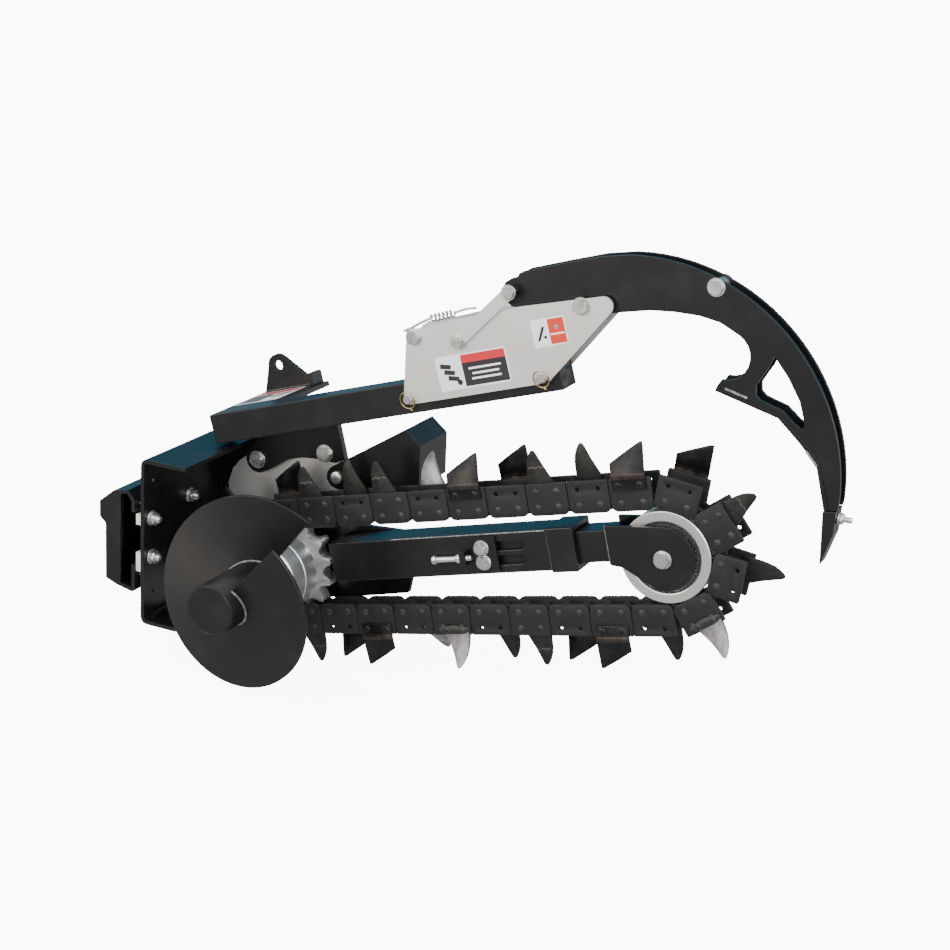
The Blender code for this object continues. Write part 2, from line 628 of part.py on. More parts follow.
def build_chain(name, first, last):
    """Outer links first..last with their teeth, carried by one spine above the pin line."""
    span = CHAIN_WIDTH / 2 - CHAIN_PLATE / 2
    pieces = []
    centres = []
    for k in range(first, last + 1):
        line = link_line(k)
        kind = TOOTH_ORDER[k]
        near = k % 2 == 0
        pieces.append(link_plate(line, -1, kind if near else None))
        pieces.append(link_plate(line, 1, None if near else kind))
        centres.append(line)
    # the spine follows the links a little above the sprocket's tooth tips
    low, high = -0.015, -0.033
    lower = []
    upper = []
    for line in centres:
        for s in (-0.030, 0.030):
            lower.append(line.at(s, low))
            upper.append(line.at(s, high))
    spine = plate(name, lower + upper[::-1], CHAIN_Y - span, CHAIN_Y + span)
    return combine(spine, pieces)


LINKS = CHAIN_PITCHES // 2
RUN_LINKS = int((RUN_LENGTH / CHAIN_PITCH - CHAIN_PHASE - 1) // 2)
NOSE_END = int((RUN_LENGTH / CHAIN_PITCH + (math.pi + 2 * RUN_TILT) / IDLER_STEP - CHAIN_PHASE) // 2)
TOP_END = int((2 * RUN_LENGTH / CHAIN_PITCH + (math.pi + 2 * RUN_TILT) / IDLER_STEP - CHAIN_PHASE - 1) // 2)


# ---- boom -----------------------------------------------------------------------------------
def build_boom():
    """Fixed outer tube with its collar and adjusting slots, and the plate that carries it."""
    y = (CHAIN_Y - BOOM_SIDE / 2, CHAIN_Y + BOOM_SIDE / 2)
    half = BOOM_SIDE / 2
    tube = box("boom_tube", BOOM, (BOOM_REAR, BOOM_FRONT), (-half, half), y)
    out = half + COLLAR_THICK
    collar = box("collar", BOOM, (BOOM_FRONT - COLLAR_LENGTH, BOOM_FRONT + 0.002), (-out, out),
                 (CHAIN_Y - out, CHAIN_Y + out))
    clear = half - BOOM_WALL
    bore = box("bore", BOOM, (BOOM_REAR - 0.01, BOOM_FRONT + 0.01), (-clear, clear),
               (CHAIN_Y - clear, CHAIN_Y + clear))
    slots = [plate("slot", slot(BOOM.at(PAD_S, h), BOOM.at(PAD_S + 0.077, h), PAD_BOLT_RADIUS + HOLE_SLACK),
                   y[0] - 0.01, CHAIN_Y) for h in (-PAD_BOLT_SPREAD, PAD_BOLT_SPREAD)]
    add(combine(combine(tube, [collar]), [bore, *slots], "DIFFERENCE"), "black")

    mount_y = (y[1] + GAP, y[1] + GAP + MOUNT_PLATE_SHEET)
    top = BOOM.at(BOOM_REAR + 0.131, half - 0.004)
    corner = BOOM.at(BOOM_REAR + 0.135, -half - 0.006)
    outline = (arc(DRIVE_X, DRIVE_Z, 0.088, 100, 290, 12)
               + [(corner[0] - 0.085, corner[1] - 0.075), (corner[0] - 0.008, corner[1] - 0.052), corner, top])
    mount = plate("boom_mount_plate", outline, *mount_y, [circle(DRIVE_X, DRIVE_Z, SHAFT_RADIUS + 0.010)])
    add(mount, "black")


def build_nose():
    """Sliding inner tube, fork plates, idler wheel and axle, and the tension clamp."""
    half = INNER_SIDE / 2
    y_near = CHAIN_Y - half
    y_far = CHAIN_Y + half
    front = BOOM_BACK - IDLER_RADIUS - 0.006
    tube = box("inner_tube", BOOM, (INNER_REAR, front), (-half, half), (y_near, y_far))
    clear = half - INNER_WALL
    bore = box("bore", BOOM, (INNER_REAR - 0.01, front + 0.01), (-clear, clear), (CHAIN_Y - clear, CHAIN_Y + clear))
    holes = [rod_y("cut", *BOOM.at(PAD_S, h), PAD_BOLT_RADIUS + HOLE_SLACK, y_near - 0.01, CHAIN_Y)
             for h in (-PAD_BOLT_SPREAD, PAD_BOLT_SPREAD)]
    add(combine(tube, [bore, *holes], "DIFFERENCE"), "black")

    turn = math.degrees(BOOM_ANGLE)
    edge = front - 0.009
    outline = [BOOM.at(edge, -0.035), BOOM.at(edge + 0.022, -0.040)]
    outline += arc(IDLER_X, IDLER_Z, FORK_RADIUS, turn - 108, turn + 90, 16)
    outline.append(BOOM.at(edge, 0.041))
    for name, low in (("fork_plate_near", y_near - GAP - FORK_SHEET), ("fork_plate_far", y_far + GAP)):
        fork = plate(name, outline, low, low + FORK_SHEET, [hole(IDLER_X, IDLER_Z, AXLE_RADIUS)])
        add(fork, "black")
    seat = y_near - GAP * 2 - FORK_SHEET
    axle = bolt_y("idler_axle", IDLER_X, IDLER_Z, AXLE_RADIUS, seat, y_far + GAP * 2 + FORK_SHEET, 0.012, 0.012, 1.3)
    add(axle, "bolt")

    w = IDLER_WIDTH / 2
    bore_radius = AXLE_RADIUS + SPIN_SLACK
    hub = IDLER_RADIUS - 0.058
    rim = IDLER_RADIUS - 0.014
    wheel = turned("idler_wheel", IDLER_X, IDLER_Z,
                   [(bore_radius, CHAIN_Y - w), (hub, CHAIN_Y - w), (hub + 0.004, CHAIN_Y - w + 0.008),
                    (rim - 0.008, CHAIN_Y - w + 0.012), (rim, CHAIN_Y - w), (IDLER_RADIUS - 0.003, CHAIN_Y - w),
                    (IDLER_RADIUS, CHAIN_Y - w + 0.003), (IDLER_RADIUS, CHAIN_Y + w - 0.003),
                    (IDLER_RADIUS - 0.003, CHAIN_Y + w), (rim, CHAIN_Y + w), (rim - 0.008, CHAIN_Y + w - 0.012),
                    (hub + 0.004, CHAIN_Y + w - 0.008), (hub, CHAIN_Y + w), (bore_radius, CHAIN_Y + w)], 36)
    add(axis_at(wheel, IDLER_X, IDLER_Z), "zinc")

    face = CHAIN_Y - BOOM_SIDE / 2
    pad_y = (face - GAP - PAD_SHEET, face - GAP)
    pad_outline = [BOOM.at(s, h) for s, h in ((PAD_S - 0.020, -0.034), (PAD_S + 0.030, -0.034),
                                              (PAD_S + 0.030, 0.034), (PAD_S - 0.020, 0.034))]
    holes = [hole(*BOOM.at(PAD_S, h), PAD_BOLT_RADIUS) for h in (-PAD_BOLT_SPREAD, PAD_BOLT_SPREAD)]
    add(plate("clamp_pad", pad_outline, *pad_y, holes), "black")
    for name, h in (("pad_bolt_upper", PAD_BOLT_SPREAD), ("pad_bolt_lower", -PAD_BOLT_SPREAD)):
        x, z = BOOM.at(PAD_S, h)
        shank = rod_y(name, x, z, PAD_BOLT_RADIUS, pad_y[0] - 0.010, y_near + INNER_WALL + 0.008)
        head = plate("head", hexagon(x, z, 0.0138), pad_y[0] - 0.010, pad_y[0] - GAP)
        add(combine(shank, [head]), "bolt")

    block = box("jack_block", BOOM, (-0.186, -0.174), (-0.015, 0.012), (face - 0.022, face - GAP))
    screw_y = face - 0.012
    start = BOOM.at(-0.248, -0.0025)
    end = BOOM.at(PAD_S - 0.021, -0.0025)
    middle = ((start[0] + end[0]) / 2, (start[1] + end[1]) / 2)
    length = math.hypot(end[0] - start[0], end[1] - start[1])
    lean = math.pi / 2 - BOOM_ANGLE
    add(combine(block, [jack_bar("cut", 0.0066, length + 0.02, middle, screw_y, lean)], "DIFFERENCE"), "black")
    screw = jack_bar("jack_screw", 0.006, length, middle, screw_y, lean)
    head = jack_bar("head", 0.0105, 0.008, BOOM.at(-0.244, -0.0025), screw_y, lean, 6)
    lock_nut = jack_bar("nut", 0.0105, 0.009, BOOM.at(-0.1908, -0.0025), screw_y, lean, 6)
    screw = combine(screw, [head, lock_nut])
    place = Matrix.Translation((middle[0], screw_y, middle[1])) @ Matrix.Rotation(lean, 4, "Y")
    add(axis_at(screw, 0, 0, matrix=place), "bolt")


def jack_bar(name, radius, length, middle, y, lean, sides=16):
    """A round or hexagonal bar along the boom."""
    bpy.ops.mesh.primitive_cylinder_add(vertices=sides, radius=radius, depth=length)
    obj = bpy.context.object
    obj.name = name
    obj.rotation_euler = (0, lean, 0)
    obj.location = (middle[0], y, middle[1])
    return bake(obj)


# ---- beam and lift eye ----------------------------------------------------------------------
def build_beam():
    """Square beam over the chain, the top plate at its rear end and the lift eye on it."""
    half = BEAM_SIDE / 2
    clear = half - BEAM_WALL
    y = (CHAIN_Y - half, CHAIN_Y + half)
    tube = box("beam", BEAM, (0, BEAM_LENGTH), (-half, half), y)
    cuts = [box("bore", BEAM, (-0.01, BEAM_LENGTH + 0.01), (-clear, clear), (CHAIN_Y - clear, CHAIN_Y + clear))]
    for place in (REAR_PIN, FRONT_PIN):
        cuts.append(rod_y("cut", *place, PIN_RADIUS + HOLE_SLACK, y[0] - 0.01, y[1] + 0.01))
    add(combine(tube, cuts, "DIFFERENCE"), "black")

    plate_y = (y[1] + GAP, y[1] + GAP + TOP_PLATE_REACH)
    top_plate = box("top_plate", BEAM, (0, TOP_PLATE_LENGTH), (half - TOP_PLATE_SHEET, half), plate_y)
    add(top_plate, "black")
    eye_y = (plate_y[1] - 0.012, plate_y[1])
    low = half + GAP
    outline = [BEAM.at(0.004, low), BEAM.at(0.130, low)]
    centre = BEAM.at(0.050, low + 0.050)
    turn = math.degrees(BEAM_ANGLE)
    outline += arc(*centre, 0.024, turn + 40, turn + 175, 10)
    eye = plate("lift_eye", outline, *eye_y, [circle(*centre, 0.011)])
    foot = box("foot", BEAM, (0.131, 0.143), (low, low + 0.026), (plate_y[1] - 0.040, plate_y[1]))
    bridge = box("bridge", BEAM, (0.110, 0.140), (low, low + 0.012), eye_y)
    add(combine(eye, [foot, bridge]), "black")

    hanger_y = (SIDE_PLATE_Y - GAP - HANGER_SHEET, SIDE_PLATE_Y - GAP)
    lobe = HANGER_BOLTS[0]
    right = BEAM.at(0.232, half - TOP_PLATE_SHEET - GAP)
    left = (WALL_X + TOP_FLANGE + GAP, 0)
    left_s = (left[0] - BEAM_X + (half - TOP_PLATE_SHEET - GAP) * math.sin(BEAM_ANGLE)) / math.cos(BEAM_ANGLE)
    top_left = BEAM.at(left_s, half - TOP_PLATE_SHEET - GAP)
    outline = ([top_left, (left[0], FRAME_TOP - WALL_SHEET - 0.004), (lobe[0] - 0.026, lobe[1] + 0.010)]
               + arc(*lobe, 0.028, 170, 300, 8)
               + [(0.243, 0.124), (0.266, 0.141), (0.300, 0.152), (0.340, 0.156), (0.377, 0.155), (0.400, 0.165), right])
    holes = [hole(*place, HANGER_BOLT_RADIUS) for place in HANGER_BOLTS]
    add(plate("hanger_plate", outline, *hanger_y, holes), "black")
    outline = [(0.120, 0.026), (0.116, 0.058), (0.126, 0.091), (0.142, 0.111), (0.166, 0.133), (0.184, 0.150),
               (0.194, 0.188), (0.378, 0.190), (0.386, 0.152), (0.430, 0.112), (0.430, 0.090), (0.400, 0.060),
               (0.330, 0.026)]
    side_y = (SIDE_PLATE_Y, SIDE_PLATE_Y + SIDE_PLATE_SHEET)
    holes.append(hole(*GUARD_PIVOT, 0.007))
    add(plate("pivot_plate", outline, *side_y, holes), "zinc")
    nut_seats = (BULKHEAD_Y[1] + GAP, side_y[1] + GAP)
    for name, place, seat in zip(("hanger_bolt_rear", "hanger_bolt_front"), HANGER_BOLTS, nut_seats):
        add(bolt_y(name, *place, HANGER_BOLT_RADIUS, hanger_y[0] - GAP, seat, 0.010, 0.008), "bolt")


# ---- guard ----------------------------------------------------------------------------------
def build_guard():
    """Bent sheet guard behind the top of the chain, hung on one bolt."""
    panel_outline = (arc(*GUARD_PIVOT, 0.024, 120, 270, 8)
                     + [(0.410, 0.106), (0.575, 0.145), (0.573, 0.231), (0.538, 0.258)])
    panel = plate("guard", panel_outline, GUARD_Y, GUARD_Y + GUARD_SHEET, [hole(*GUARD_PIVOT, 0.007)])
    cover_outline = [(0.538, 0.258), (0.573, 0.231), (0.575, 0.145), (0.571, 0.145), (0.569, 0.229), (0.5355, 0.2548)]
    cover = plate("cover", cover_outline, GUARD_Y + GUARD_SHEET / 2, GUARD_Y + GUARD_SHEET + GUARD_COVER)
    add(axis_at(combine(panel, [cover]), *GUARD_PIVOT), "black")
    start = GUARD_Y - GAP
    shank = rod_y("guard_bolt", *GUARD_PIVOT, 0.007, start - 0.005, SIDE_PLATE_Y + 0.008)
    head = plate("head", circle(*GUARD_PIVOT, 0.013, 16), start - 0.007, start)
    collar_y = (GUARD_Y + GUARD_SHEET + GAP, SIDE_PLATE_Y - GAP)
    collar = plate("collar", circle(*GUARD_PIVOT, 0.013, 16), *collar_y)
    add(combine(shank, [head, collar]), "bolt")


# ---- crumber --------------------------------------------------------------------------------

def build_bracket():
    """Two plates pinned across the beam, with the bolts between them."""
    turn = math.degrees(BEAM_ANGLE)
    corner = PIN_EDGE
    outline = [(0.575, 0.480)] + arc(*REAR_PIN, corner, 170, turn + 270, 6)
    notch = PIN_RADIUS + HOLE_SLACK * 2
    outline += [BRACKET.at(FRONT_PIN_S - REAR_PIN_S - notch, -corner)]
    outline += arc(*FRONT_PIN, notch, turn + 180, turn, 8)
    outline += [BRACKET.at(FRONT_PIN_S - REAR_PIN_S + notch, -corner), (0.876, 0.441)]
    outline += arc(0.964, 0.588, NOSE_ROUND, -42, 104, 8)
    outline += [(0.799, 0.561), (0.700, 0.527)]
    reach = math.atan2(LINK_TOP[1] - LINK_FOOT[1], LINK_TOP[0] - LINK_FOOT[0])
    slot_end = (LINK_FOOT[0] + FLOAT_TRAVEL * math.cos(reach), LINK_FOOT[1] + FLOAT_TRAVEL * math.sin(reach))
    holes = [hole(*REAR_PIN, PIN_RADIUS), hole(*ARM_PIVOT, ARM_BOLT_RADIUS), hole(*SPRING_BOLT, ARM_BOLT_RADIUS),
             slot(LINK_FOOT, slot_end, ARM_BOLT_RADIUS + HOLE_SLACK * 2)]
    half = BEAM_SIDE / 2 + GAP
    near_y = (CHAIN_Y - half - BRACKET_SHEET, CHAIN_Y - half)
    far_y = (CHAIN_Y + half, CHAIN_Y + half + BRACKET_SHEET)
    add(axis_at(plate("bracket_plate_near", outline, *near_y, holes), *REAR_PIN), "zinc")
    add(axis_at(plate("bracket_plate_far", outline, *far_y, holes), *REAR_PIN), "zinc")
    for name, place in (("arm_pivot_bolt", ARM_PIVOT), ("spring_bolt", SPRING_BOLT)):
        bolt = bolt_y(name, *place, ARM_BOLT_RADIUS, near_y[0] - GAP, far_y[1] + GAP, 0.009, 0.009)
        add(axis_at(bolt, *REAR_PIN), "bolt")
    for name, place in (("rear_lock_pin", REAR_PIN), ("front_lock_pin", FRONT_PIN)):
        shank = rod_y(name, *place, PIN_RADIUS, near_y[0] - 0.012, far_y[1] + 0.014)
        head = plate("head", circle(*place, PIN_RADIUS + 0.004), near_y[0] - 0.012, near_y[0] - GAP)
        add(axis_at(combine(shank, [head]), *place), "bolt")
    # an extension spring from the rear bolt to the link's foot, as one plain bar
    start = (SPRING_BOLT[0] + 0.012, SPRING_BOLT[1] + 0.001)
    end = (LINK_FOOT[0] - 0.012, LINK_FOOT[1] - 0.001)
    lean = math.pi / 2 - math.atan2(end[1] - start[1], end[0] - start[0])
    middle = ((start[0] + end[0]) / 2, (start[1] + end[1]) / 2)
    length = math.hypot(end[0] - start[0], end[1] - start[1])
    spring = jack_bar("return_spring", 0.012, length, middle, CHAIN_Y, lean, 16)
    add(axis_at(spring, *REAR_PIN), "bolt")


def build_links():
    """The pair of flat links outside the bracket, and the bolts at their ends."""
    out = BEAM_SIDE / 2 + GAP + BRACKET_SHEET + GAP
    outline = slot(LINK_FOOT, LINK_TOP, LINK_HALF, 8)
    holes = [hole(*LINK_FOOT, ARM_BOLT_RADIUS - 0.001, 16), hole(*LINK_TOP, ARM_BOLT_RADIUS - 0.001, 16)]
    near_y = (CHAIN_Y - out - LINK_SHEET, CHAIN_Y - out)
    far_y = (CHAIN_Y + out, CHAIN_Y + out + LINK_SHEET)
    for name, y in (("link_bar_near", near_y), ("link_bar_far", far_y)):
        add(axis_at(plate(name, outline, *y, holes), *LINK_TOP), "zinc")
    for name, place in (("link_foot_bolt", LINK_FOOT), ("link_top_bolt", LINK_TOP)):
        bolt = bolt_y(name, *place, ARM_BOLT_RADIUS - 0.001, near_y[0] - GAP, far_y[1] + GAP, 0.008, 0.008)
        add(axis_at(bolt, *LINK_TOP), "bolt")


def build_arm():
    """Two curved plates, the bent scoop under them, the shoe at the tip and their bolts."""
    outline = [(0.781, 0.556), (0.764, 0.568), (0.759, 0.584), (0.764, 0.599), (0.776, 0.608), (0.788, 0.612),
               (0.790, 0.619), (0.798, 0.624), (0.869, 0.648), (0.944, 0.672)]
    outline += arc(CURVE_X, CURVE_Z, CURVE_RADIUS, 96, 0, 26)
    tail = [(x, z + 0.0004) for x, z in SCOOP_PATH[::-1]]
    outline += [(1.4185, 0.292), (1.403, 0.290)] + tail[1:]
    outline += arc(HOOK_X, HOOK_Z, HOOK_RADIUS, -94, 62, 10)
    outline += [(1.175, 0.588), (1.138, 0.594), (1.092, 0.594), (1.046, 0.590), (0.975, 0.574), (0.880, 0.564)]
    window = ([(1.277, 0.545), (1.306, 0.511), (1.330, 0.474), (1.344, 0.434), (1.340, 0.424), (1.326, 0.432),
               (1.301, 0.452), (1.262, 0.463), (1.252, 0.471), (1.250, 0.487), (1.258, 0.502), (1.268, 0.520)])
    holes = [window, hole(*ARM_PIVOT, ARM_BOLT_RADIUS + 0.0004), hole(*LINK_TOP, ARM_BOLT_RADIUS - 0.001, 16),
             hole(*TIE_BOLT, ARM_BOLT_RADIUS)]
    half = ARM_WIDTH / 2
    near_y = (CHAIN_Y - half, CHAIN_Y - half + ARM_SHEET)
    far_y = (CHAIN_Y + half - ARM_SHEET, CHAIN_Y + half)
    add(axis_at(plate("crumber_arm_near", outline, *near_y, holes), *ARM_PIVOT), "black")
    add(axis_at(plate("crumber_arm_far", outline, *far_y, holes), *ARM_PIVOT), "black")

    under = []
    for i, point in enumerate(SCOOP_PATH):
        before = Vector(SCOOP_PATH[max(i - 1, 0)])
        after = Vector(SCOOP_PATH[min(i + 1, len(SCOOP_PATH) - 1)])
        along = (after - before).normalized()
        under.append((point[0] + along.y * SCOOP_SHEET, point[1] - along.x * SCOOP_SHEET))
    scoop = plate("crumber_scoop", list(SCOOP_PATH) + under[::-1], CHAIN_Y - half, CHAIN_Y + half)
    add(axis_at(scoop, *ARM_PIVOT), "black")

    tip = SCOOP_PATH[-1]
    outline = [(tip[0] - 0.009, tip[1] - 0.005), (tip[0] + 0.015, tip[1] - 0.0005), (tip[0] + 0.014, tip[1] - 0.045),
               (tip[0] - 0.003, tip[1] - 0.104), (tip[0] - 0.006, tip[1] - 0.052)]
    shoe = plate("crumber_shoe", outline, CHAIN_Y - half, CHAIN_Y + half)
    bolt_z = tip[1] - 0.018
    shoe = combine(shoe, [rod_x("cut", CHAIN_Y, bolt_z, 0.0066, tip[0] - 0.02, tip[0] + 0.03)], "DIFFERENCE")
    add(axis_at(shoe, *ARM_PIVOT), "black")
    shank = rod_x("shoe_bolt", CHAIN_Y, bolt_z, 0.006, tip[0] - 0.008, tip[0] + 0.040)
    nut = rod_x("nut", CHAIN_Y, bolt_z, 0.011, tip[0] + 0.0156, tip[0] + 0.024, 6)
    add(axis_at(combine(shank, [nut]), *ARM_PIVOT), "bolt")
    tie = bolt_y("arm_tie_bolt", *TIE_BOLT, ARM_BOLT_RADIUS, near_y[0] - GAP, far_y[1] + GAP, 0.008, 0.008)
    sleeve = rod_y("sleeve", *TIE_BOLT, 0.013, near_y[1] + GAP, far_y[0] - GAP)
    add(axis_at(combine(tie, [sleeve]), *ARM_PIVOT), "bolt")


build_hitch()
build_spacers()
build_frame()
build_drive()
for chain_name, first_link, last_link in (("chain_lower_run", 0, RUN_LINKS),
                                          ("chain_nose_wrap", RUN_LINKS + 1, NOSE_END),
                                          ("chain_upper_run", NOSE_END + 1, TOP_END),
                                          ("chain_drive_wrap", TOP_END + 1, LINKS - 1)):
    add(build_chain(chain_name, first_link, last_link), "iron")
build_boom()
build_nose()
build_beam()
build_guard()
build_bracket()
build_links()
build_arm()

for part in parts.objects:
    part.data.shade_smooth()
    part.data.set_sharp_from_angle(angle=math.radians(35))
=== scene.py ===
"""Looks of the chain trencher: paint, plating, chain, teeth, welds, fasteners and labels.

Metres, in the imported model's own frame: the loader is at -X, the digging end at +X, +Z is up.
"""

import json
import math
import random

import bmesh
import bpy
from mathutils import Matrix, Vector


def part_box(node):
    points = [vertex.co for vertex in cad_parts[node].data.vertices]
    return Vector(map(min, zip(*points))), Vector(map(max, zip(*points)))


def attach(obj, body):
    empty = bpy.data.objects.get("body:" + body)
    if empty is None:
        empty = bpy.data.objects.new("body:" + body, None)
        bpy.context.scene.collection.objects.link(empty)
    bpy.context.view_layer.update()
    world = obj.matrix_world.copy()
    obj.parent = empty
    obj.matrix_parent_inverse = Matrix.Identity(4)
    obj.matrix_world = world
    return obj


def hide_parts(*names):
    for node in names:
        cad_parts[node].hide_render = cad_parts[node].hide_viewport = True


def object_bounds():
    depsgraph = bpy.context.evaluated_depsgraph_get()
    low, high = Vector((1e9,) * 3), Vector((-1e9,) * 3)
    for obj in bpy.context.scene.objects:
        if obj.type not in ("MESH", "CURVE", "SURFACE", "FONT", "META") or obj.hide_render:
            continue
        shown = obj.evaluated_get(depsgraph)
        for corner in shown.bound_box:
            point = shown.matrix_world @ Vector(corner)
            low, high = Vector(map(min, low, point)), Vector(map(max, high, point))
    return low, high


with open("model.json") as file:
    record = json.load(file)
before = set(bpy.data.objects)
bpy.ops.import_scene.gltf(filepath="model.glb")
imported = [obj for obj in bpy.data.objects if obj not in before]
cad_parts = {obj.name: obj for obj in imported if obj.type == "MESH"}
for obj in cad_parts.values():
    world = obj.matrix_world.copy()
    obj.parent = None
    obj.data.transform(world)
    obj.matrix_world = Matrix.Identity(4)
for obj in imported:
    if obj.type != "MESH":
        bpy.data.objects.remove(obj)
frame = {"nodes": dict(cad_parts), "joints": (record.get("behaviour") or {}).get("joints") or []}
cad_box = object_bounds()
draw = random.Random(7)

JOINT = {joint["name"]: joint for joint in frame["joints"]}


def joint_place(name):
    """A joint's axis point as X and Z; every pivot of the machine lies along Y."""
    place = JOINT[name]["pos_m"]
    return place[0], place[2]


# ---- places and sizes -----------------------------------------------------------------------
DRIVE_X, DRIVE_Z = joint_place("drive_spin")
IDLER_X, IDLER_Z = joint_place("idler_spin")
REAR_PIN = joint_place("crumber_fold")
CHAIN_Y = JOINT["drive_spin"]["pos_m"][1]
BOOM_ANGLE = math.atan2(JOINT["boom_tension"]["axis"][2], JOINT["boom_tension"]["axis"][0])
BEAM_ANGLE = math.radians(18.13)

CHAIN_PITCH = 0.042
CHAIN_PITCHES = 54
CHAIN_PHASE = 0.134
CHAIN_HALF = 0.028               # from the chain's middle to a side plate's outer face
PLATE_THICK = 0.008
PLATE_INNER = 0.016              # plate edges, measured from the pin line towards the loop
PLATE_OUTER = -0.046
RIVET_S = 0.0205                  # a rivet's place either side of a link's middle
OPEN_ROW = -0.0305               # height of a side plate's outer row of holes
TOOTH_ROW = -0.0345              # height of the rivets that hold a tooth
ROLLER_LINKS = 22                # inner links shown; the drive wrap has none
BOOM_HALF = 0.039
BEAM_INSIDE = 0.0265             # half the width of the beam's bore
SPROCKET_TEETH = 14
SPROCKET_RADIUS = CHAIN_PITCH / (2 * math.sin(math.pi / SPROCKET_TEETH))
IDLER_PIN_RADIUS = math.hypot(0.0883 + PLATE_INNER, CHAIN_PITCH / 2)
SPROCKET_STEP = 2 * math.asin(CHAIN_PITCH / 2 / SPROCKET_RADIUS)
IDLER_STEP = 2 * math.asin(CHAIN_PITCH / 2 / IDLER_PIN_RADIUS)
CENTRE_DISTANCE = math.hypot(IDLER_X - DRIVE_X, IDLER_Z - DRIVE_Z)
CHAIN_ANGLE = math.atan2(IDLER_Z - DRIVE_Z, IDLER_X - DRIVE_X)
RUN_LENGTH = math.sqrt(CENTRE_DISTANCE ** 2 - (IDLER_PIN_RADIUS - SPROCKET_RADIUS) ** 2)
RUN_TILT = math.atan((IDLER_PIN_RADIUS - SPROCKET_RADIUS) / RUN_LENGTH)
# one letter for each outer link, round from the sprocket along the lower run:
# s straight shark tooth, f flared shark tooth, b bent blade
TOOTH_ORDER = "sbbffssbbsfssbbssbbfsssbbss"

# the stretches of chain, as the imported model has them: first link, last link, body
CHAIN_STRETCHES = (("chain_lower_run", 0, 9, "machine_frame"),
                   ("chain_nose_wrap", 10, 13, "nose"),
                   ("chain_upper_run", 14, 22, "machine_frame"),
                   ("chain_drive_wrap", 23, 26, "machine_frame"))


class Line:
    """A place and a direction in the XZ plane: s runs along it and h square to it, upwards."""

    def __init__(self, x, z, angle):
        self.x, self.z, self.angle = x, z, angle
        self.c, self.s = math.cos(angle), math.sin(angle)

    def at(self, s, h):
        return (self.x + s * self.c - h * self.s, self.z + s * self.s + h * self.c)

    def matrix(self, y):
        """Local X along the line, local Y along the machine's Y, local Z square to the line."""
        return Matrix(((self.c, 0, -self.s, self.x), (0, 1, 0, y), (self.s, 0, self.c, self.z), (0, 0, 0, 1)))


BOOM = Line(*Line(IDLER_X, IDLER_Z, BOOM_ANGLE).at(-0.216, 0.029), BOOM_ANGLE)
BRACKET = Line(*REAR_PIN, BEAM_ANGLE)
BEAM = Line(*BRACKET.at(-0.4636, 0), BEAM_ANGLE)


# ---- shader kit -----------------------------------------------------------------------------
class Value:
    """A number that changes over a surface; sums on it add Math nodes."""

    def __init__(self, paint, socket):
        self.paint, self.socket = paint, socket

    def math(self, operation, *others):
        return self.paint.node("ShaderNodeMath", {"operation": operation}, self, *others)

    def __add__(self, other):
        return self.math("ADD", other)

    def __mul__(self, other):
        return self.math("MULTIPLY", other)

    def __rsub__(self, other):
        return self.paint.node("ShaderNodeMath", {"operation": "SUBTRACT"}, other, self)

    __radd__ = __add__
    __rmul__ = __mul__

    def clamp(self):
        return self.paint.node("ShaderNodeClamp", {}, self)


class Paint:
    """One material and the nodes that drive its Principled shader."""

    def __init__(self, name, **plain):
        self.material = bpy.data.materials.new(name)
        self.material.use_nodes = True
        self.tree = self.material.node_tree
        self.shader = self.tree.nodes["Principled BSDF"]
        for socket, value in plain.items():
            self.feed(socket.replace("_", " "), value)

    def feed(self, socket, value):
        target = self.shader.inputs[socket]
        if isinstance(value, Value):
            self.tree.links.new(value.socket, target)
        else:
            target.default_value = (*value, 1) if isinstance(value, tuple) else value

    def node(self, kind, settings, *values, output=0, **named):
        """Add a node: its settings first, then values or links for its sockets by place or by name."""
        node = self.tree.nodes.new(kind)
        for name, setting in settings.items():
            setattr(node, name, setting)
        pairs = list(enumerate(values)) + [(key.replace("_", " "), value) for key, value in named.items()]
        for key, value in pairs:
            target = node.inputs[key]
            if isinstance(value, Value):
                self.tree.links.new(value.socket, target)
            elif isinstance(value, tuple) and len(target.default_value) == 4:
                target.default_value = (*value, 1)
            else:
                target.default_value = value
        return Value(self, node.outputs[output])

    def place(self, scale=(1.0, 1.0, 1.0)):
        where = self.node("ShaderNodeTexCoord", {}, output=3)
        return self.node("ShaderNodeMapping", {}, Vector=where, Scale=scale)

    def noise(self, scale, detail=3.0, roughness=0.55, stretch=(1.0, 1.0, 1.0)):
        """Soft random mottling, 0 to 1; scale is in spots to the metre."""
        return self.node("ShaderNodeTexNoise", {}, Vector=self.place(stretch), Scale=scale, Detail=detail,
                         Roughness=roughness)

    def between(self, value, low, high):
        """0 below low, 1 above high."""
        smoothstep = {"interpolation_type": "SMOOTHSTEP"}
        return self.node("ShaderNodeMapRange", smoothstep, value, low, high, 0.0, 1.0)

    def mix(self, factor, first, second):
        """A colour between two."""
        node = self.tree.nodes.new("ShaderNodeMix")
        node.data_type = "RGBA"
        for socket, value in ((node.inputs[0], factor), (node.inputs[6], first), (node.inputs[7], second)):
            if isinstance(value, Value):
                self.tree.links.new(value.socket, socket)
            else:
                socket.default_value = (*value, 1) if isinstance(value, tuple) else value
        return Value(self, node.outputs[2])

    def edges(self, radius, low=0.02, high=0.35):
        """1 on outer corners and 0 on flats; the callers break it up with noise."""
        rounded = self.node("ShaderNodeBevel", {"samples": 4}, radius)
        true_normal = self.node("ShaderNodeNewGeometry", {}, output=3)
        dot = {"operation": "DOT_PRODUCT"}
        agreement = self.node("ShaderNodeVectorMath", dot, rounded, true_normal, output=1)
        return self.between(1 - agreement, low, high)

    def bump(self, height, strength, distance):
        normal = self.node("ShaderNodeBump", {}, Strength=strength, Distance=distance, Height=height)
        self.feed("Normal", normal)


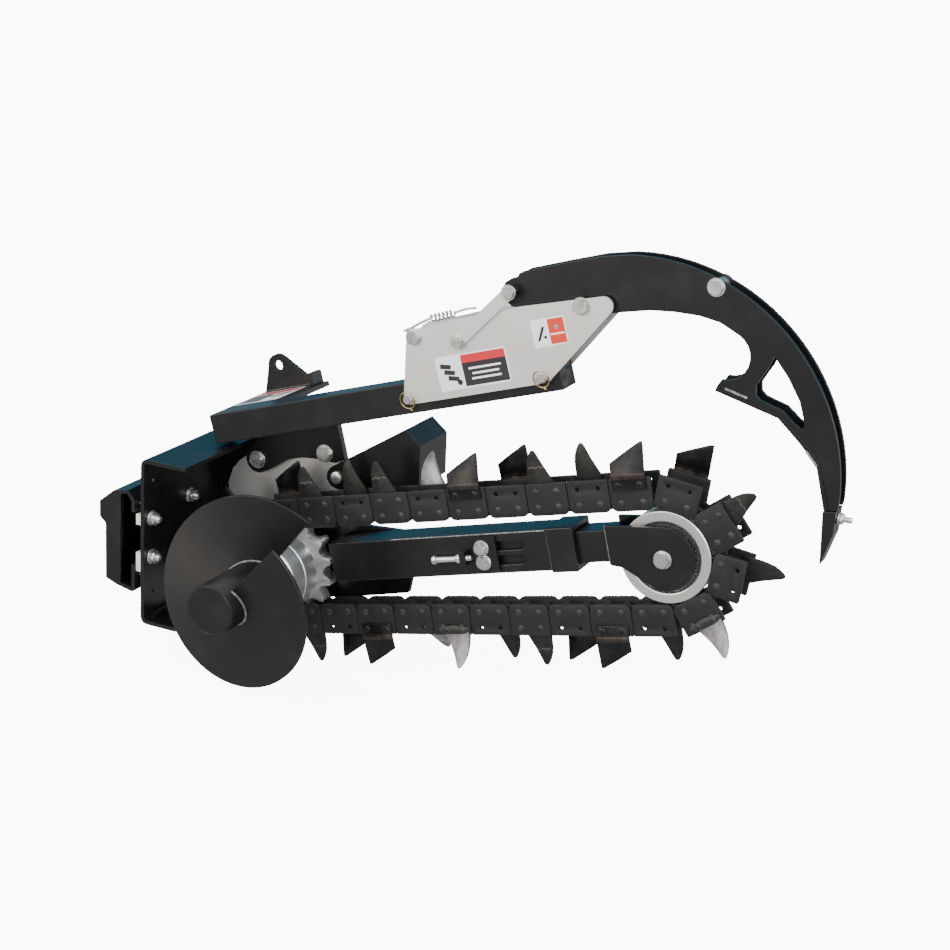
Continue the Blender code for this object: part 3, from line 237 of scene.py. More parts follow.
# ---- finishes -------------------------------------------------------------------------------
def black_paint(name, wear=0.6, gloss=0.22):
    """Semi-gloss black coat over steel: orange peel, dust, and thin bright corners that are partly wear and
    partly painted edge highlight.
    """
    paint = Paint(name, Specular_IOR_Level=0.42)
    peel = paint.noise(420, 2.0)
    cloud = paint.noise(14, 4.0)
    scuff = paint.noise(46, 6.0, 0.7, (1.0, 1.0, 0.35))
    # painted edge highlight with wear: the corner mask, broken up by scuff noise, lightens the paint on the
    # corners
    worn = paint.edges(0.0012) * paint.between(scuff, 0.42, 0.62) * wear
    dusty = paint.between(cloud, 0.45, 0.85)
    coat = paint.mix(dusty, (0.0060, 0.0060, 0.0072), (0.0120, 0.0115, 0.0120))
    # the lighter corner colour is partly worn paint and partly painted highlight
    paint.feed("Base Color", paint.mix(worn, coat, (0.16, 0.15, 0.145)))
    rough = gloss + cloud * 0.16 + worn * 0.10 + paint.between(scuff, 0.58, 0.8) * 0.08
    paint.feed("Roughness", rough.clamp())
    paint.bump(peel * 0.7 + scuff * 0.3, 0.08, 0.0003)
    return paint.material


def zinc_plate(name, warm=0.5, gloss=0.34):
    """Bright zinc plating, slightly yellow in patches, with faint handling marks."""
    paint = Paint(name, Metallic=0.92)
    cloud = paint.noise(9, 4.0)
    patch = paint.noise(23, 3.0)
    grain = paint.noise(240, 3.0, 0.6, (0.12, 1.0, 1.0))
    bloom = paint.between(patch, 0.46, 0.78) * warm
    plated = paint.mix(cloud, (0.88, 0.88, 0.86), (0.77, 0.79, 0.80))
    paint.feed("Base Color", paint.mix(bloom, plated, (0.86, 0.79, 0.62)))
    paint.feed("Roughness", (gloss + cloud * 0.14 + grain * 0.10).clamp())
    paint.bump(grain, 0.03, 0.0001)
    return paint.material


def bare_steel(name, colour, roughness, metallic=0.9):
    paint = Paint(name, Metallic=metallic)
    cloud = paint.noise(30, 4.0)
    grain = paint.noise(380, 3.0, 0.6)
    dark = tuple(channel * 0.62 for channel in colour)
    paint.feed("Base Color", paint.mix(paint.between(cloud, 0.35, 0.75), dark, colour))
    paint.feed("Roughness", (roughness + cloud * 0.16).clamp())
    paint.bump(grain, 0.16, 0.0005)
    return paint.material


def chain_steel(name):
    """Dark heat-treated chain plate: matte, a little oil, rubbed on its corners."""
    paint = Paint(name, Metallic=0.35)
    cloud = paint.noise(34, 5.0, 0.65)
    grit = paint.noise(520, 4.0, 0.7)
    rub = paint.edges(0.0014) * paint.between(paint.noise(60, 4.0), 0.4, 0.6)
    body = paint.mix(cloud, (0.009, 0.009, 0.010), (0.024, 0.023, 0.023))
    paint.feed("Base Color", paint.mix(rub * 0.7, body, (0.17, 0.165, 0.16)))
    paint.feed("Roughness", (0.42 + cloud * 0.22).clamp())
    paint.bump(grit * 0.5 + cloud * 0.5, 0.28, 0.0009)
    return paint.material


def tooth_steel(name, colour, metallic=0.6, gloss=0.36):
    """Cast tooth: fine rough skin, lighter where it has been ground or rubbed."""
    paint = Paint(name, Metallic=metallic)
    cloud = paint.noise(60, 5.0, 0.6)
    skin = paint.noise(700, 4.0, 0.7)
    rub = paint.edges(0.0012)
    dark = tuple(channel * 0.5 for channel in colour)
    body = paint.mix(paint.between(cloud, 0.3, 0.7), dark, colour)
    paint.feed("Base Color", paint.mix(rub * 0.6, body, (0.34, 0.33, 0.32)))
    paint.feed("Roughness", (gloss + cloud * 0.22).clamp())
    paint.bump(skin * 0.6 + cloud * 0.4, 0.25, 0.0004)
    return paint.material


def weld_metal(name, colour):
    paint = Paint(name, Metallic=0.35)
    cloud = paint.noise(150, 4.0)
    light = tuple(min(channel * 2.6, 1.0) for channel in colour)
    paint.feed("Base Color", paint.mix(paint.between(cloud, 0.45, 0.7), colour, light))
    paint.feed("Roughness", (0.34 + cloud * 0.2).clamp())
    paint.bump(cloud, 0.5, 0.0008)
    return paint.material


def label_film(name, colour):
    paint = Paint(name, Coat_Weight=0.4)
    cloud = paint.noise(40, 3.0)
    paint.feed("Base Color", paint.mix(cloud, colour, tuple(channel * 0.90 for channel in colour)))
    paint.feed("Roughness", (0.32 + cloud * 0.12).clamp())
    paint.bump(paint.noise(300, 2.0), 0.05, 0.0003)
    return paint.material


BLACK = black_paint("black_paint")
# more of the lighter corners: more wear and more painted edge highlight
BLACK_WORN_HIGHLIT = black_paint("black_paint_worn", wear=1.0, gloss=0.26)
AUGER_BLACK = black_paint("auger_paint", wear=0.8, gloss=0.27)
ZINC = zinc_plate("zinc_plate")
ZINC_COOL = zinc_plate("zinc_plate_cool", warm=0.15)
WHEEL_ZINC = zinc_plate("wheel_zinc", warm=0.35, gloss=0.14)
DRUM_ZINC = zinc_plate("drum_zinc", warm=0.1, gloss=0.26)
BOLT_ZINC = bare_steel("bolt_zinc", (0.90, 0.89, 0.86), 0.20)
TURNED_STEEL = bare_steel("turned_steel", (0.42, 0.41, 0.40), 0.30)
CAST_IRON = bare_steel("cast_iron", (0.06, 0.06, 0.062), 0.45, 0.5)
CHAIN_STEEL = chain_steel("chain_steel")
RIVET_STEEL = tooth_steel("rivet_steel", (0.060, 0.058, 0.057))
TOOTH_DARK = tooth_steel("tooth_dark", (0.034, 0.032, 0.030))
TOOTH_LIGHT = tooth_steel("tooth_light", (0.34, 0.33, 0.335), 0.75)
BLADE_BLACK = tooth_steel("blade_black", (0.030, 0.030, 0.032), 0.75, 0.16)
BLADE_BAND = tooth_steel("blade_band", (0.100, 0.082, 0.070), 0.9, 0.22)
HARD_FACE = tooth_steel("hard_facing", (0.13, 0.125, 0.12), 0.8)
IVORY = label_film("ivory_spacer", (0.86, 0.82, 0.68))
GOLD = bare_steel("brass_wire", (0.82, 0.60, 0.26), 0.20, 1.0)
WELD_DARK = weld_metal("weld_dark", (0.05, 0.05, 0.05))
WELD_BRIGHT = weld_metal("weld_bright", (0.160, 0.155, 0.150))
LABEL_WHITE = label_film("label_white", (0.92, 0.92, 0.93))
LABEL_RED = label_film("label_red", (0.62, 0.010, 0.018))
LABEL_ORANGE = label_film("label_orange", (0.70, 0.030, 0.008))
LABEL_BLACK = label_film("label_black", (0.016, 0.014, 0.016))

NODE_FINISH = {
    "frame": BLACK, "hitch_plate": BLACK, "bearing_housing": BLACK, "boom_tube": BLACK_WORN_HIGHLIT,
    "boom_mount_plate": BLACK, "inner_tube": BLACK, "fork_plate_near": BLACK, "fork_plate_far": BLACK,
    "clamp_pad": BLACK, "jack_block": BLACK, "beam": BLACK, "top_plate": BLACK, "lift_eye": BLACK,
    "hanger_plate": BLACK, "guard": BLACK, "crumber_arm_near": BLACK, "crumber_arm_far": BLACK,
    "crumber_scoop": BLACK, "crumber_shoe": BLACK_WORN_HIGHLIT, "auger": AUGER_BLACK,
    "upper_spacer": IVORY, "lower_spacer": IVORY, "sprocket": ZINC_COOL, "idler_wheel": ZINC,
    "pivot_plate": ZINC_COOL, "bracket_plate_near": ZINC, "bracket_plate_far": ZINC,
    "link_bar_near": ZINC_COOL, "link_bar_far": ZINC_COOL, "drive_shaft": TURNED_STEEL,
    "shaft_bearing": TURNED_STEEL, "hydraulic_motor": CAST_IRON,
}
SOFT_EDGE = {"frame": 0.0015, "hitch_plate": 0.0015, "boom_tube": 0.0022, "inner_tube": 0.0020,
             "beam": 0.0022, "sprocket": 0.0010, "hydraulic_motor": 0.0015}


def dress_cad_nodes():
    """Give every carried-over solid its finish and softly broken corners."""
    for name, node in frame["nodes"].items():
        finish = NODE_FINISH.get(name, BOLT_ZINC)
        node.data.materials.clear()
        node.data.materials.append(finish)
        weld = node.modifiers.new("weld", "WELD")
        weld.merge_threshold = 0.00001
        bevel = node.modifiers.new("soft_edge", "BEVEL")
        bevel.width = SOFT_EDGE.get(name, 0.0008)
        bevel.segments = 2
        bevel.limit_method = "ANGLE"
        bevel.angle_limit = math.radians(35)
        bevel.harden_normals = True


# ---- mesh kit -------------------------------------------------------------------------------
def placed(name, data):
    """A new object in the scene."""
    obj = bpy.data.objects.new(name, data)
    bpy.context.scene.collection.objects.link(obj)
    return obj


def keep(mesh_or_object, name, body, finish, stands_for=()):
    """Name a finished piece, give it its finish and let it ride on its body."""
    piece = mesh_or_object
    if isinstance(piece, bpy.types.Mesh):
        piece = placed(name, mesh_or_object)
    piece.name = name
    finishes = finish if isinstance(finish, tuple) else (finish,)
    if not piece.data.materials:
        for one in finishes:
            piece.data.materials.append(one)
    bpy.context.view_layer.update()
    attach(piece, body)
    if stands_for:
        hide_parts(*stands_for)
    return piece


def finished(work, name):
    """The mesh of a bmesh, which is freed."""
    mesh = bpy.data.meshes.new(name)
    work.to_mesh(mesh)
    work.free()
    return mesh


def skinned(work, rings, name, band=()):
    """Close rings of equal count into a solid; faces between the levels in band take the second slot."""
    for number, (before, after) in enumerate(zip(rings, rings[1:])):
        for i in range(len(before)):
            j = (i + 1) % len(before)
            face = work.faces.new((before[i], before[j], after[j], after[i]))
            if band and band[0] <= number < band[1]:
                face.material_index = 1
    work.faces.new(rings[0])
    work.faces.new(rings[-1])
    bmesh.ops.recalc_face_normals(work, faces=work.faces)
    return finished(work, name)


def middle_of(node):
    """The middle of a node's box, as X, Y and Z."""
    low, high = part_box(node)
    return tuple((low[i] + high[i]) / 2 for i in range(3))


def smooth(mesh, angle=35):
    mesh.shade_smooth()
    mesh.set_sharp_from_angle(angle=math.radians(angle))
    return mesh


def baked(obj, weld=0.00001):
    """The evaluated mesh of an object, in world space; the object itself goes."""
    bpy.context.view_layer.update()
    evaluated = obj.evaluated_get(bpy.context.evaluated_depsgraph_get())
    mesh = bpy.data.meshes.new_from_object(evaluated)
    mesh.transform(obj.matrix_world)
    bpy.data.objects.remove(obj, do_unlink=True)
    work = bmesh.new()
    work.from_mesh(mesh)
    bmesh.ops.remove_doubles(work, verts=work.verts, dist=weld)
    bmesh.ops.recalc_face_normals(work, faces=work.faces)
    work.to_mesh(mesh)
    work.free()
    mesh.materials.clear()
    return mesh


def joined(meshes, slots=None):
    """One mesh from several; slots gives each its material slot."""
    work = bmesh.new()
    for number, mesh in enumerate(meshes):
        before = len(work.faces)
        work.from_mesh(mesh)
        work.faces.ensure_lookup_table()
        if slots:
            for face in work.faces[before:]:
                face.material_index = slots[number]
    return smooth(finished(work, "joined"))


def arc(x, z, radius, start, end, steps):
    angles = [math.radians(start + (end - start) * i / steps) for i in range(steps + 1)]
    return [(x + radius * math.cos(a), z + radius * math.sin(a)) for a in angles]


def circle(x, z, radius, sides=32):
    return arc(x, z, radius, 0, 360, sides)[:-1]


def flat(outline, y_low, y_high, holes=(), edge=0.0006):
    """A plate in the XZ plane with rounded edges, its thickness along Y."""
    curve = bpy.data.curves.new("flat", "CURVE")
    curve.dimensions = "2D"
    curve.fill_mode = "BOTH"
    curve.extrude = (y_high - y_low) / 2 - edge
    curve.bevel_depth = edge
    curve.bevel_resolution = 1
    curve.offset = -edge
    for ring in (outline, *holes):
        spline = curve.splines.new("POLY")
        spline.points.add(len(ring) - 1)
        for point, (x, z) in zip(spline.points, ring):
            point.co = (x, z, 0, 1)
        spline.use_cyclic_u = True
    obj = placed("flat", curve)
    obj.rotation_euler = (math.pi / 2, 0, 0)
    obj.location = (0, (y_low + y_high) / 2, 0)
    return baked(obj)


def turned(profile, sides=64, x=0.0, z=0.0):
    """A closed profile of (radius, y) points turned about an axis along Y."""
    mesh = bpy.data.meshes.new("profile")
    count = len(profile)
    mesh.from_pydata([(radius, 0, along) for radius, along in profile],
                     [(i, (i + 1) % count) for i in range(count)], [])
    obj = placed("turned", mesh)
    screw = obj.modifiers.new("turn", "SCREW")
    screw.axis = "Z"
    screw.steps = sides
    screw.render_steps = sides
    screw.use_merge_vertices = True
    screw.merge_threshold = 0.000005
    obj.rotation_euler = (-math.pi / 2, 0, 0)
    obj.location = (x, 0, z)
    return baked(obj, 0.000005)


def wire(points, radius, closed=False, resolution=4, ends=True):
    """A round wire along points in space."""
    curve = bpy.data.curves.new("wire", "CURVE")
    curve.dimensions = "3D"
    curve.bevel_depth = radius
    curve.bevel_resolution = resolution
    curve.use_fill_caps = ends and not closed
    spline = curve.splines.new("POLY")
    spline.points.add(len(points) - 1)
    for point, place in zip(spline.points, points):
        point.co = (*place, 1)
    spline.use_cyclic_u = closed
    return baked(placed("wire", curve))


def lofted(levels, mirror=False, band=()):
    """A blade-like form from levels of (height, s_low, s_high, outer_y, thickness), root first.

    Height runs away from the chain, so it is laid along -Z of the link. Faces between the two levels
    in band take the second material slot."""
    work = bmesh.new()
    rings = []
    for height, s_low, s_high, outer, thick in levels:
        corners = ((s_low, outer), (s_high, outer), (s_high, outer + thick), (s_low, outer + thick))
        rings.append([work.verts.new((s, -y if mirror else y, PLATE_OUTER - height)) for s, y in corners])
    obj = placed("lofted", skinned(work, rings, "lofted", band))
    bevel = obj.modifiers.new("edge", "BEVEL")
    bevel.width = 0.0013
    bevel.segments = 2
    bevel.angle_limit = math.radians(40)
    bpy.context.view_layer.update()
    result = bpy.data.meshes.new_from_object(obj.evaluated_get(bpy.context.evaluated_depsgraph_get()))
    bpy.data.objects.remove(obj, do_unlink=True)
    return smooth(result, 40)


def dome(s, h, y, radius, height, outward, sides=20):
    """A rivet head on a face at y, bulging outward (-1 or 1), in link or machine places."""
    steps = 4
    profile = [(0.0, y - outward * 0.0015), (radius, y - outward * 0.0015)]
    for i in range(steps + 1):
        angle = math.pi / 2 * i / steps
        reach = radius * math.cos(angle) if i < steps else 0.0
        profile.append((reach, y + outward * height * math.sin(angle)))
    return turned(profile, sides, s, h)


def hexagon_head(x, z, across_corners, y_low, y_high, turn=0.0):
    """A hexagon with its outer corners turned off, along Y."""
    drop = (y_high - y_low) * 0.16
    radius = across_corners / 2
    work = bmesh.new()
    rings = []
    levels = ((y_low, 0.86), (y_low + drop, 1.0), (y_high - drop, 1.0), (y_high, 0.86))
    for y, share in levels:
        ring = []
        for i in range(24):
            angle = turn + math.tau * i / 24
            off_flat = (angle - turn) % (math.pi / 3) - math.pi / 6
            flat_reach = radius * math.cos(math.pi / 6) / math.cos(off_flat)
            reach = min(flat_reach, radius * share) if share < 1 else flat_reach
            ring.append(work.verts.new((x + reach * math.cos(angle), y, z + reach * math.sin(angle))))
        rings.append(ring)
    return skinned(work, rings, "hexagon")


def thread(x, z, radius, y_low, y_high, pitch=0.0016, sides=24):
    """A threaded end: fine ridges, with a chamfer at its tip."""
    profile = [(0.0, y_low)]
    turns = max(int((y_high - y_low - 0.002) / pitch), 1)
    for i in range(turns):
        start = y_low + i * pitch
        profile += [(radius * 0.90, start), (radius, start + pitch * 0.5)]
    profile += [(radius * 0.90, y_high - 0.0015), (radius * 0.72, y_high), (0.0, y_high)]
    return turned(profile, sides, x, z)


def washer(x, z, inner, outer, y_low, y_high):
    edge = (y_high - y_low) * 0.2
    return turned([(inner, y_low), (outer - edge, y_low), (outer, y_low + edge), (outer, y_high - edge),
                   (outer - edge, y_high), (inner, y_high)], 36, x, z)


def moved(mesh, matrix):
    mesh.transform(matrix)
    return mesh


def laid_along_x(mesh, y, z):
    """Swap X and Y of a shape made along Y, so that it lies along X through this y and z."""
    mesh.transform(Matrix(((0, 1, 0, 0), (1, 0, 0, y), (0, 0, 1, z), (0, 0, 0, 1))))
    mesh.flip_normals()
    return mesh


# ---- fasteners ------------------------------------------------------------------------------
def bolt_along_y(node, body, head, nut, spread=1.85):
    """Replace a bolt that lies along Y by one with a turned head, washers and a threaded end."""
    low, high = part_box(node)
    x, z = (low[0] + high[0]) / 2, (low[2] + high[2]) / 2
    corners = high[0] - low[0]
    radius = corners / 2 / spread
    turn = draw.uniform(0, math.pi / 3)
    face = low[1] + head
    parts = [hexagon_head(x, z, corners * 0.97, low[1], face - 0.0018, turn=turn),
             washer(x, z, radius, corners * 0.56, face - 0.0018, face - 0.0001)]
    if nut:
        tail = radius * 0.5
        nut_start = high[1] - tail - nut
        parts.append(turned([(0, face), (radius, face), (radius, nut_start), (0, nut_start)], 24, x, z))
        parts.append(washer(x, z, radius, corners * 0.56, nut_start, nut_start + 0.0016))
        parts.append(hexagon_head(x, z, corners * 0.97, nut_start + 0.0016, high[1] - tail, turn=turn + 0.4))
        parts.append(thread(x, z, radius * 0.97, high[1] - tail - 0.0005, high[1]))
    else:
        parts.append(turned([(0, face), (radius, face), (radius, high[1]), (0, high[1])], 24, x, z))
    keep(joined(parts), node + "_set", body, BOLT_ZINC, (node,))


def wall_bolt(node, body):
    """Replace a bolt along X: the nut is on the frame's open face."""
    low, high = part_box(node)
    y, z = (low[1] + high[1]) / 2, (low[2] + high[2]) / 2
    radius = 0.008
    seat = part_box("frame")[0][0] + 0.008
    parts = [turned([(0, low[0]), (radius, low[0]), (radius, seat), (0, seat)], 24),
             washer(0, 0, radius, 0.0155, seat + 0.0003, seat + 0.0026),
             hexagon_head(0, 0, 0.0275, seat + 0.0026, seat + 0.0136, turn=draw.uniform(0, 1)),
             thread(0, 0, radius * 0.97, seat + 0.013, high[0])]
    mesh = laid_along_x(joined(parts), y, z)
    keep(mesh, node + "_set", body, BOLT_ZINC, (node,))


def build_fasteners():
    for node, body, head, nut in (
            ("hanger_bolt_rear", "machine_frame", 0.010, 0.008),
            ("hanger_bolt_front", "machine_frame", 0.010, 0.008),
            ("arm_pivot_bolt", "bracket", 0.009, 0.009), ("spring_bolt", "bracket", 0.009, 0.009),
            ("link_foot_bolt", "link", 0.008, 0.008), ("link_top_bolt", "link", 0.008, 0.008)):
        bolt_along_y(node, body, head, nut)
    bolt_along_y("idler_axle", "nose", 0.012, 0.012, 1.3)
    for node in ("pad_bolt_upper", "pad_bolt_lower"):
        bolt_along_y(node, "nose", 0.0097, 0)
    for level in ("upper", "lower"):
        for side in ("near", "far"):
            wall_bolt("wall_bolt_%s_%s" % (level, side), "machine_frame")
    wall_bolt("wall_bolt_middle", "machine_frame")


def build_lock_pins():
    """Round-headed pins with a brass ring clip lying over the head."""
    for node, body in (("rear_lock_pin", "rear_pin"), ("front_lock_pin", "front_pin")):
        low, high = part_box(node)
        x, z = (low[0] + high[0]) / 2, (low[2] + high[2]) / 2
        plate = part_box("bracket_plate_near")[0][1]
        top = plate - 0.0100
        profile = [(0, top), (0.0075, top), (0.0100, top + 0.003), (0.0105, plate - 0.0006),
                   (0.0080, plate - 0.0004), (0.0080, high[1] - 0.003), (0.0060, high[1]), (0, high[1])]
        keep(smooth(turned(profile, 40, x, z)), node + "_turned", body, BOLT_ZINC, (node,))
        ring = [(x + 0.0155 * math.cos(a), top + 0.0030 - 0.0050 * math.sin(a),
                 z - 0.002 + 0.0165 * math.sin(a))
                for a in (math.tau * i / 48 for i in range(48))]
        cross = [(x + 0.004, top + 0.0075, z - 0.017), (x + 0.008, top + 0.0090, z - 0.021)]
        clip = joined([wire(ring, 0.0014, closed=True), wire(cross, 0.0022)])
        keep(clip, node + "_ring", body, GOLD)


def build_jack():
    """Adjusting screw with a hexagon head, real thread and lock nut."""
    along = Line(*BOOM.at(-0.248, -0.0025), BOOM_ANGLE)
    quarter_turn = Matrix(((0, 1, 0, 0), (-1, 0, 0, 0), (0, 0, 1, 0), (0, 0, 0, 1)))
    turn = along.matrix(middle_of("jack_screw")[1]) @ quarter_turn
    parts = [hexagon_head(0, 0, 0.0185, 0.0, 0.0080),
             turned([(0, 0.008), (0.0058, 0.008), (0.0058, 0.030), (0, 0.030)], 24),
             thread(0, 0, 0.0058, 0.030, 0.0838), hexagon_head(0, 0, 0.0195, 0.0530, 0.0612, turn=0.3)]
    keep(moved(joined(parts), turn), "jack_screw_threaded", "jack", BOLT_ZINC, ("jack_screw",))


# ---- chain ----------------------------------------------------------------------------------
def chain_place(t):
    """A point on the pin path, t in pitches from the lower tangent point at the sprocket."""
    run = RUN_LENGTH / CHAIN_PITCH
    nose = (math.pi + 2 * RUN_TILT) / IDLER_STEP
    t %= CHAIN_PITCHES
    low = CHAIN_ANGLE - RUN_TILT
    high = CHAIN_ANGLE + RUN_TILT
    if t < run:
        return Line(DRIVE_X, DRIVE_Z, low).at(t * CHAIN_PITCH, -SPROCKET_RADIUS)
    t -= run
    if t < nose:
        a = low - math.pi / 2 + t * IDLER_STEP
        return IDLER_X + IDLER_PIN_RADIUS * math.cos(a), IDLER_Z + IDLER_PIN_RADIUS * math.sin(a)
    t -= nose
    if t < run:
        return Line(IDLER_X, IDLER_Z, high).at(-t * CHAIN_PITCH, IDLER_PIN_RADIUS)
    a = high + math.pi / 2 + (t - run) * SPROCKET_STEP
    return DRIVE_X + SPROCKET_RADIUS * math.cos(a), DRIVE_Z + SPROCKET_RADIUS * math.sin(a)


def between_pins(t):
    """The line through pins t and t + 1, its middle between them."""
    a, b = chain_place(t), chain_place(t + 1)
    return Line((a[0] + b[0]) / 2, (a[1] + b[1]) / 2, math.atan2(b[1] - a[1], b[0] - a[0]))


def side_plate(side, holes):
    """An outer side plate with pin heads on its inner row and, if holes is true, an open outer row."""
    half = CHAIN_PITCH - 0.0008
    r = 0.0125
    outline = (arc(half - r, PLATE_INNER - r, r, 0, 90, 6) + arc(-half + r, PLATE_INNER - r, r, 90, 180, 6)
               + arc(-half + 0.002, PLATE_OUTER + 0.002, 0.002, 180, 270, 2)
               + arc(half - 0.002, PLATE_OUTER + 0.002, 0.002, 270, 360, 2))
    inner, outer = CHAIN_HALF - PLATE_THICK, CHAIN_HALF
    y = (-outer, -inner) if side < 0 else (inner, outer)
    open_row = [circle(s, OPEN_ROW, 0.0042, 20) for s in (-RIVET_S, RIVET_S)] if holes else []
    parts = [flat(outline, *y, open_row, edge=0.0008)]
    parts += [dome(s, 0.0, side * outer, 0.0066, 0.0020, side) for s in (-0.021, 0.021)]
    if not holes:
        parts += [dome(s, OPEN_ROW, side * outer, 0.0062, 0.0024, side) for s in (-RIVET_S, RIVET_S)]
    return joined(parts, [0] + [1] * (len(parts) - 1))


def shark_levels(flare):
    """Levels of a curved digging tooth that leans outwards by flare at its tip."""
    height = 0.057 if flare else 0.062
    rows = ((-0.30, -0.014, 0.036, 1.0), (0.0, -0.013, 0.0365, 1.0), (0.22, -0.006, 0.0365, 0.95),
            (0.44, 0.001, 0.036, 0.88), (0.64, 0.0065, 0.034, 0.78), (0.80, 0.0105, 0.0305, 0.66),
            (0.92, 0.0135, 0.0265, 0.5), (1.0, 0.0165, 0.0225, 0.34))
    base = -CHAIN_HALF - 0.0045 if flare else -CHAIN_HALF + PLATE_THICK + 0.0003
    levels = []
    for share, s_low, s_high, thick in rows:
        lean = flare * max(share, 0) ** 1.35
        full = 0.0095 if flare else 0.0075
        levels.append((share * height, s_low, s_high, base - lean, full * thick))
    return levels


BLADE_LEVELS = ((-0.022, -0.0335, 0.0335, -0.0325, 0.0045), (-0.001, -0.0335, 0.0335, -0.0325, 0.0045),
                (0.002, -0.0335, 0.0335, -0.0335, 0.0050), (0.006, -0.0335, 0.0335, -0.0340, 0.0055),
                (0.010, -0.0335, 0.0330, -0.0330, 0.0055), (0.030, -0.0340, 0.0330, -0.0295, 0.0052),
                (0.044, -0.0345, 0.0100, -0.0265, 0.0046), (0.057, -0.0350, -0.0130, -0.0240, 0.0040),
                (0.066, -0.0350, -0.0290, -0.0225, 0.0026))


def tooth_rivets(face):
    """The two rivet heads that hold a tooth, on a face that far out from the chain's middle."""
    return [dome(s, TOOTH_ROW, face, 0.0064, 0.0026, -1 if face < 0 else 1) for s in (-RIVET_S, RIVET_S)]


def hard_facing(levels, mirror):
    """A thin bright bead worn across a tooth's face, wavy as laid."""
    side = 1 if mirror else -1
    share = (0.46, 0.50, 0.45, 0.49, 0.44)
    low = [level for level in levels if level[0] <= 0.030][-1]
    points = [(low[1] + 0.002 + (low[2] - low[1] - 0.006) * i / 4, side * (abs(low[3]) + 0.0002),
               PLATE_OUTER - 0.062 * share[i]) for i in range(5)]
    return weld_bead(points, 0.0007)


def lumpy_base(mirror):
    """The cast foot of a flared tooth, bulging round its two rivets."""
    side = 1 if mirror else -1
    outline = []
    for i in range(40):
        angle = math.tau * i / 40
        swell = 1 + 0.10 * math.cos(2 * angle) + 0.04 * math.sin(5 * angle)
        outline.append((0.006 + 0.0310 * swell * math.cos(angle),
                        TOOTH_ROW + 0.0100 * swell * math.sin(angle)))
    inner, outer = CHAIN_HALF + 0.0003, CHAIN_HALF + 0.0056
    foot = flat(outline, *((inner, outer) if mirror else (-outer, -inner)), edge=0.0018)
    heads = [dome(s, TOOTH_ROW, side * (outer - 0.0004), 0.0064, 0.0026, side) for s in (-0.012, 0.022)]
    return [foot, *heads]


def build_chain():
    """Outer links with their teeth, and the inner links and rollers between them."""
    plates = {(side, holes): side_plate(side, holes) for side in (-1, 1) for holes in (True, False)}
    teeth = {}
    for mirror in (False, True):
        side = 1 if mirror else -1
        straight, flared = shark_levels(0.0), shark_levels(0.030)
        teeth["s", mirror] = (joined([lofted(straight, mirror), hard_facing(straight, mirror)], [0, 1]),
                              (TOOTH_DARK, HARD_FACE))
        teeth["f", mirror] = (joined([lofted(flared, mirror), *lumpy_base(mirror)], [0, 1, 1, 1]),
                              (TOOTH_LIGHT, RIVET_STEEL))
        blade = lofted(BLADE_LEVELS, mirror, (1, 4))
        heads = tooth_rivets(side * 0.0325)
        teeth["b", mirror] = (joined([blade, *heads]), (BLADE_BLACK, BLADE_BAND))
    body_of_link = {}
    stand_in = {}
    for node, first, last, body in CHAIN_STRETCHES:
        stand_in[first] = node
        for k in range(first, last + 1):
            body_of_link[k] = body
    inner_link = build_inner_link()
    for k, kind in enumerate(TOOTH_ORDER):
        matrix = between_pins(CHAIN_PHASE + 2 * k).matrix(CHAIN_Y)
        toothed = -1 if k % 2 == 0 else 1
        for side, label in ((-1, "near"), (1, "far")):
            plate = placed("plate", plates[side, side != toothed])
            plate.matrix_world = matrix
            node = (stand_in[k],) if k in stand_in and side < 0 else ()
            keep(plate, "chain_plate_%s_%02d" % (label, k), body_of_link[k], (CHAIN_STEEL, RIVET_STEEL), node)
        mesh, finish = teeth[kind, toothed > 0]
        tooth = placed("tooth", mesh)
        tooth.matrix_world = matrix
        keep(tooth, "tooth_%02d" % k, body_of_link[k], finish)
        if k < ROLLER_LINKS:
            roller = placed("inner", inner_link)
            roller.matrix_world = between_pins(CHAIN_PHASE + 2 * k + 1).matrix(CHAIN_Y)
            keep(roller, "inner_link_%02d" % k, body_of_link[k], (CHAIN_STEEL, RIVET_STEEL))


def build_inner_link():
    """Two inner plates and the two rollers between them, about the middle of the link."""
    half = CHAIN_PITCH / 2
    outline = arc(half, 0, 0.0125, -90, 90, 8) + arc(-half, 0, 0.0125, 90, 270, 8)
    parts = [flat(outline, low, low + 0.0045, edge=0.0006) for low in (-0.0197, 0.0152)]
    for s in (-half, half):
        parts.append(turned([(0.0, -0.0152), (0.0085, -0.0152), (0.0095, -0.0142), (0.0095, 0.0142),
                             (0.0085, 0.0152), (0.0, 0.0152)], 24, s, 0))
    return joined(parts, [0, 0, 1, 1])


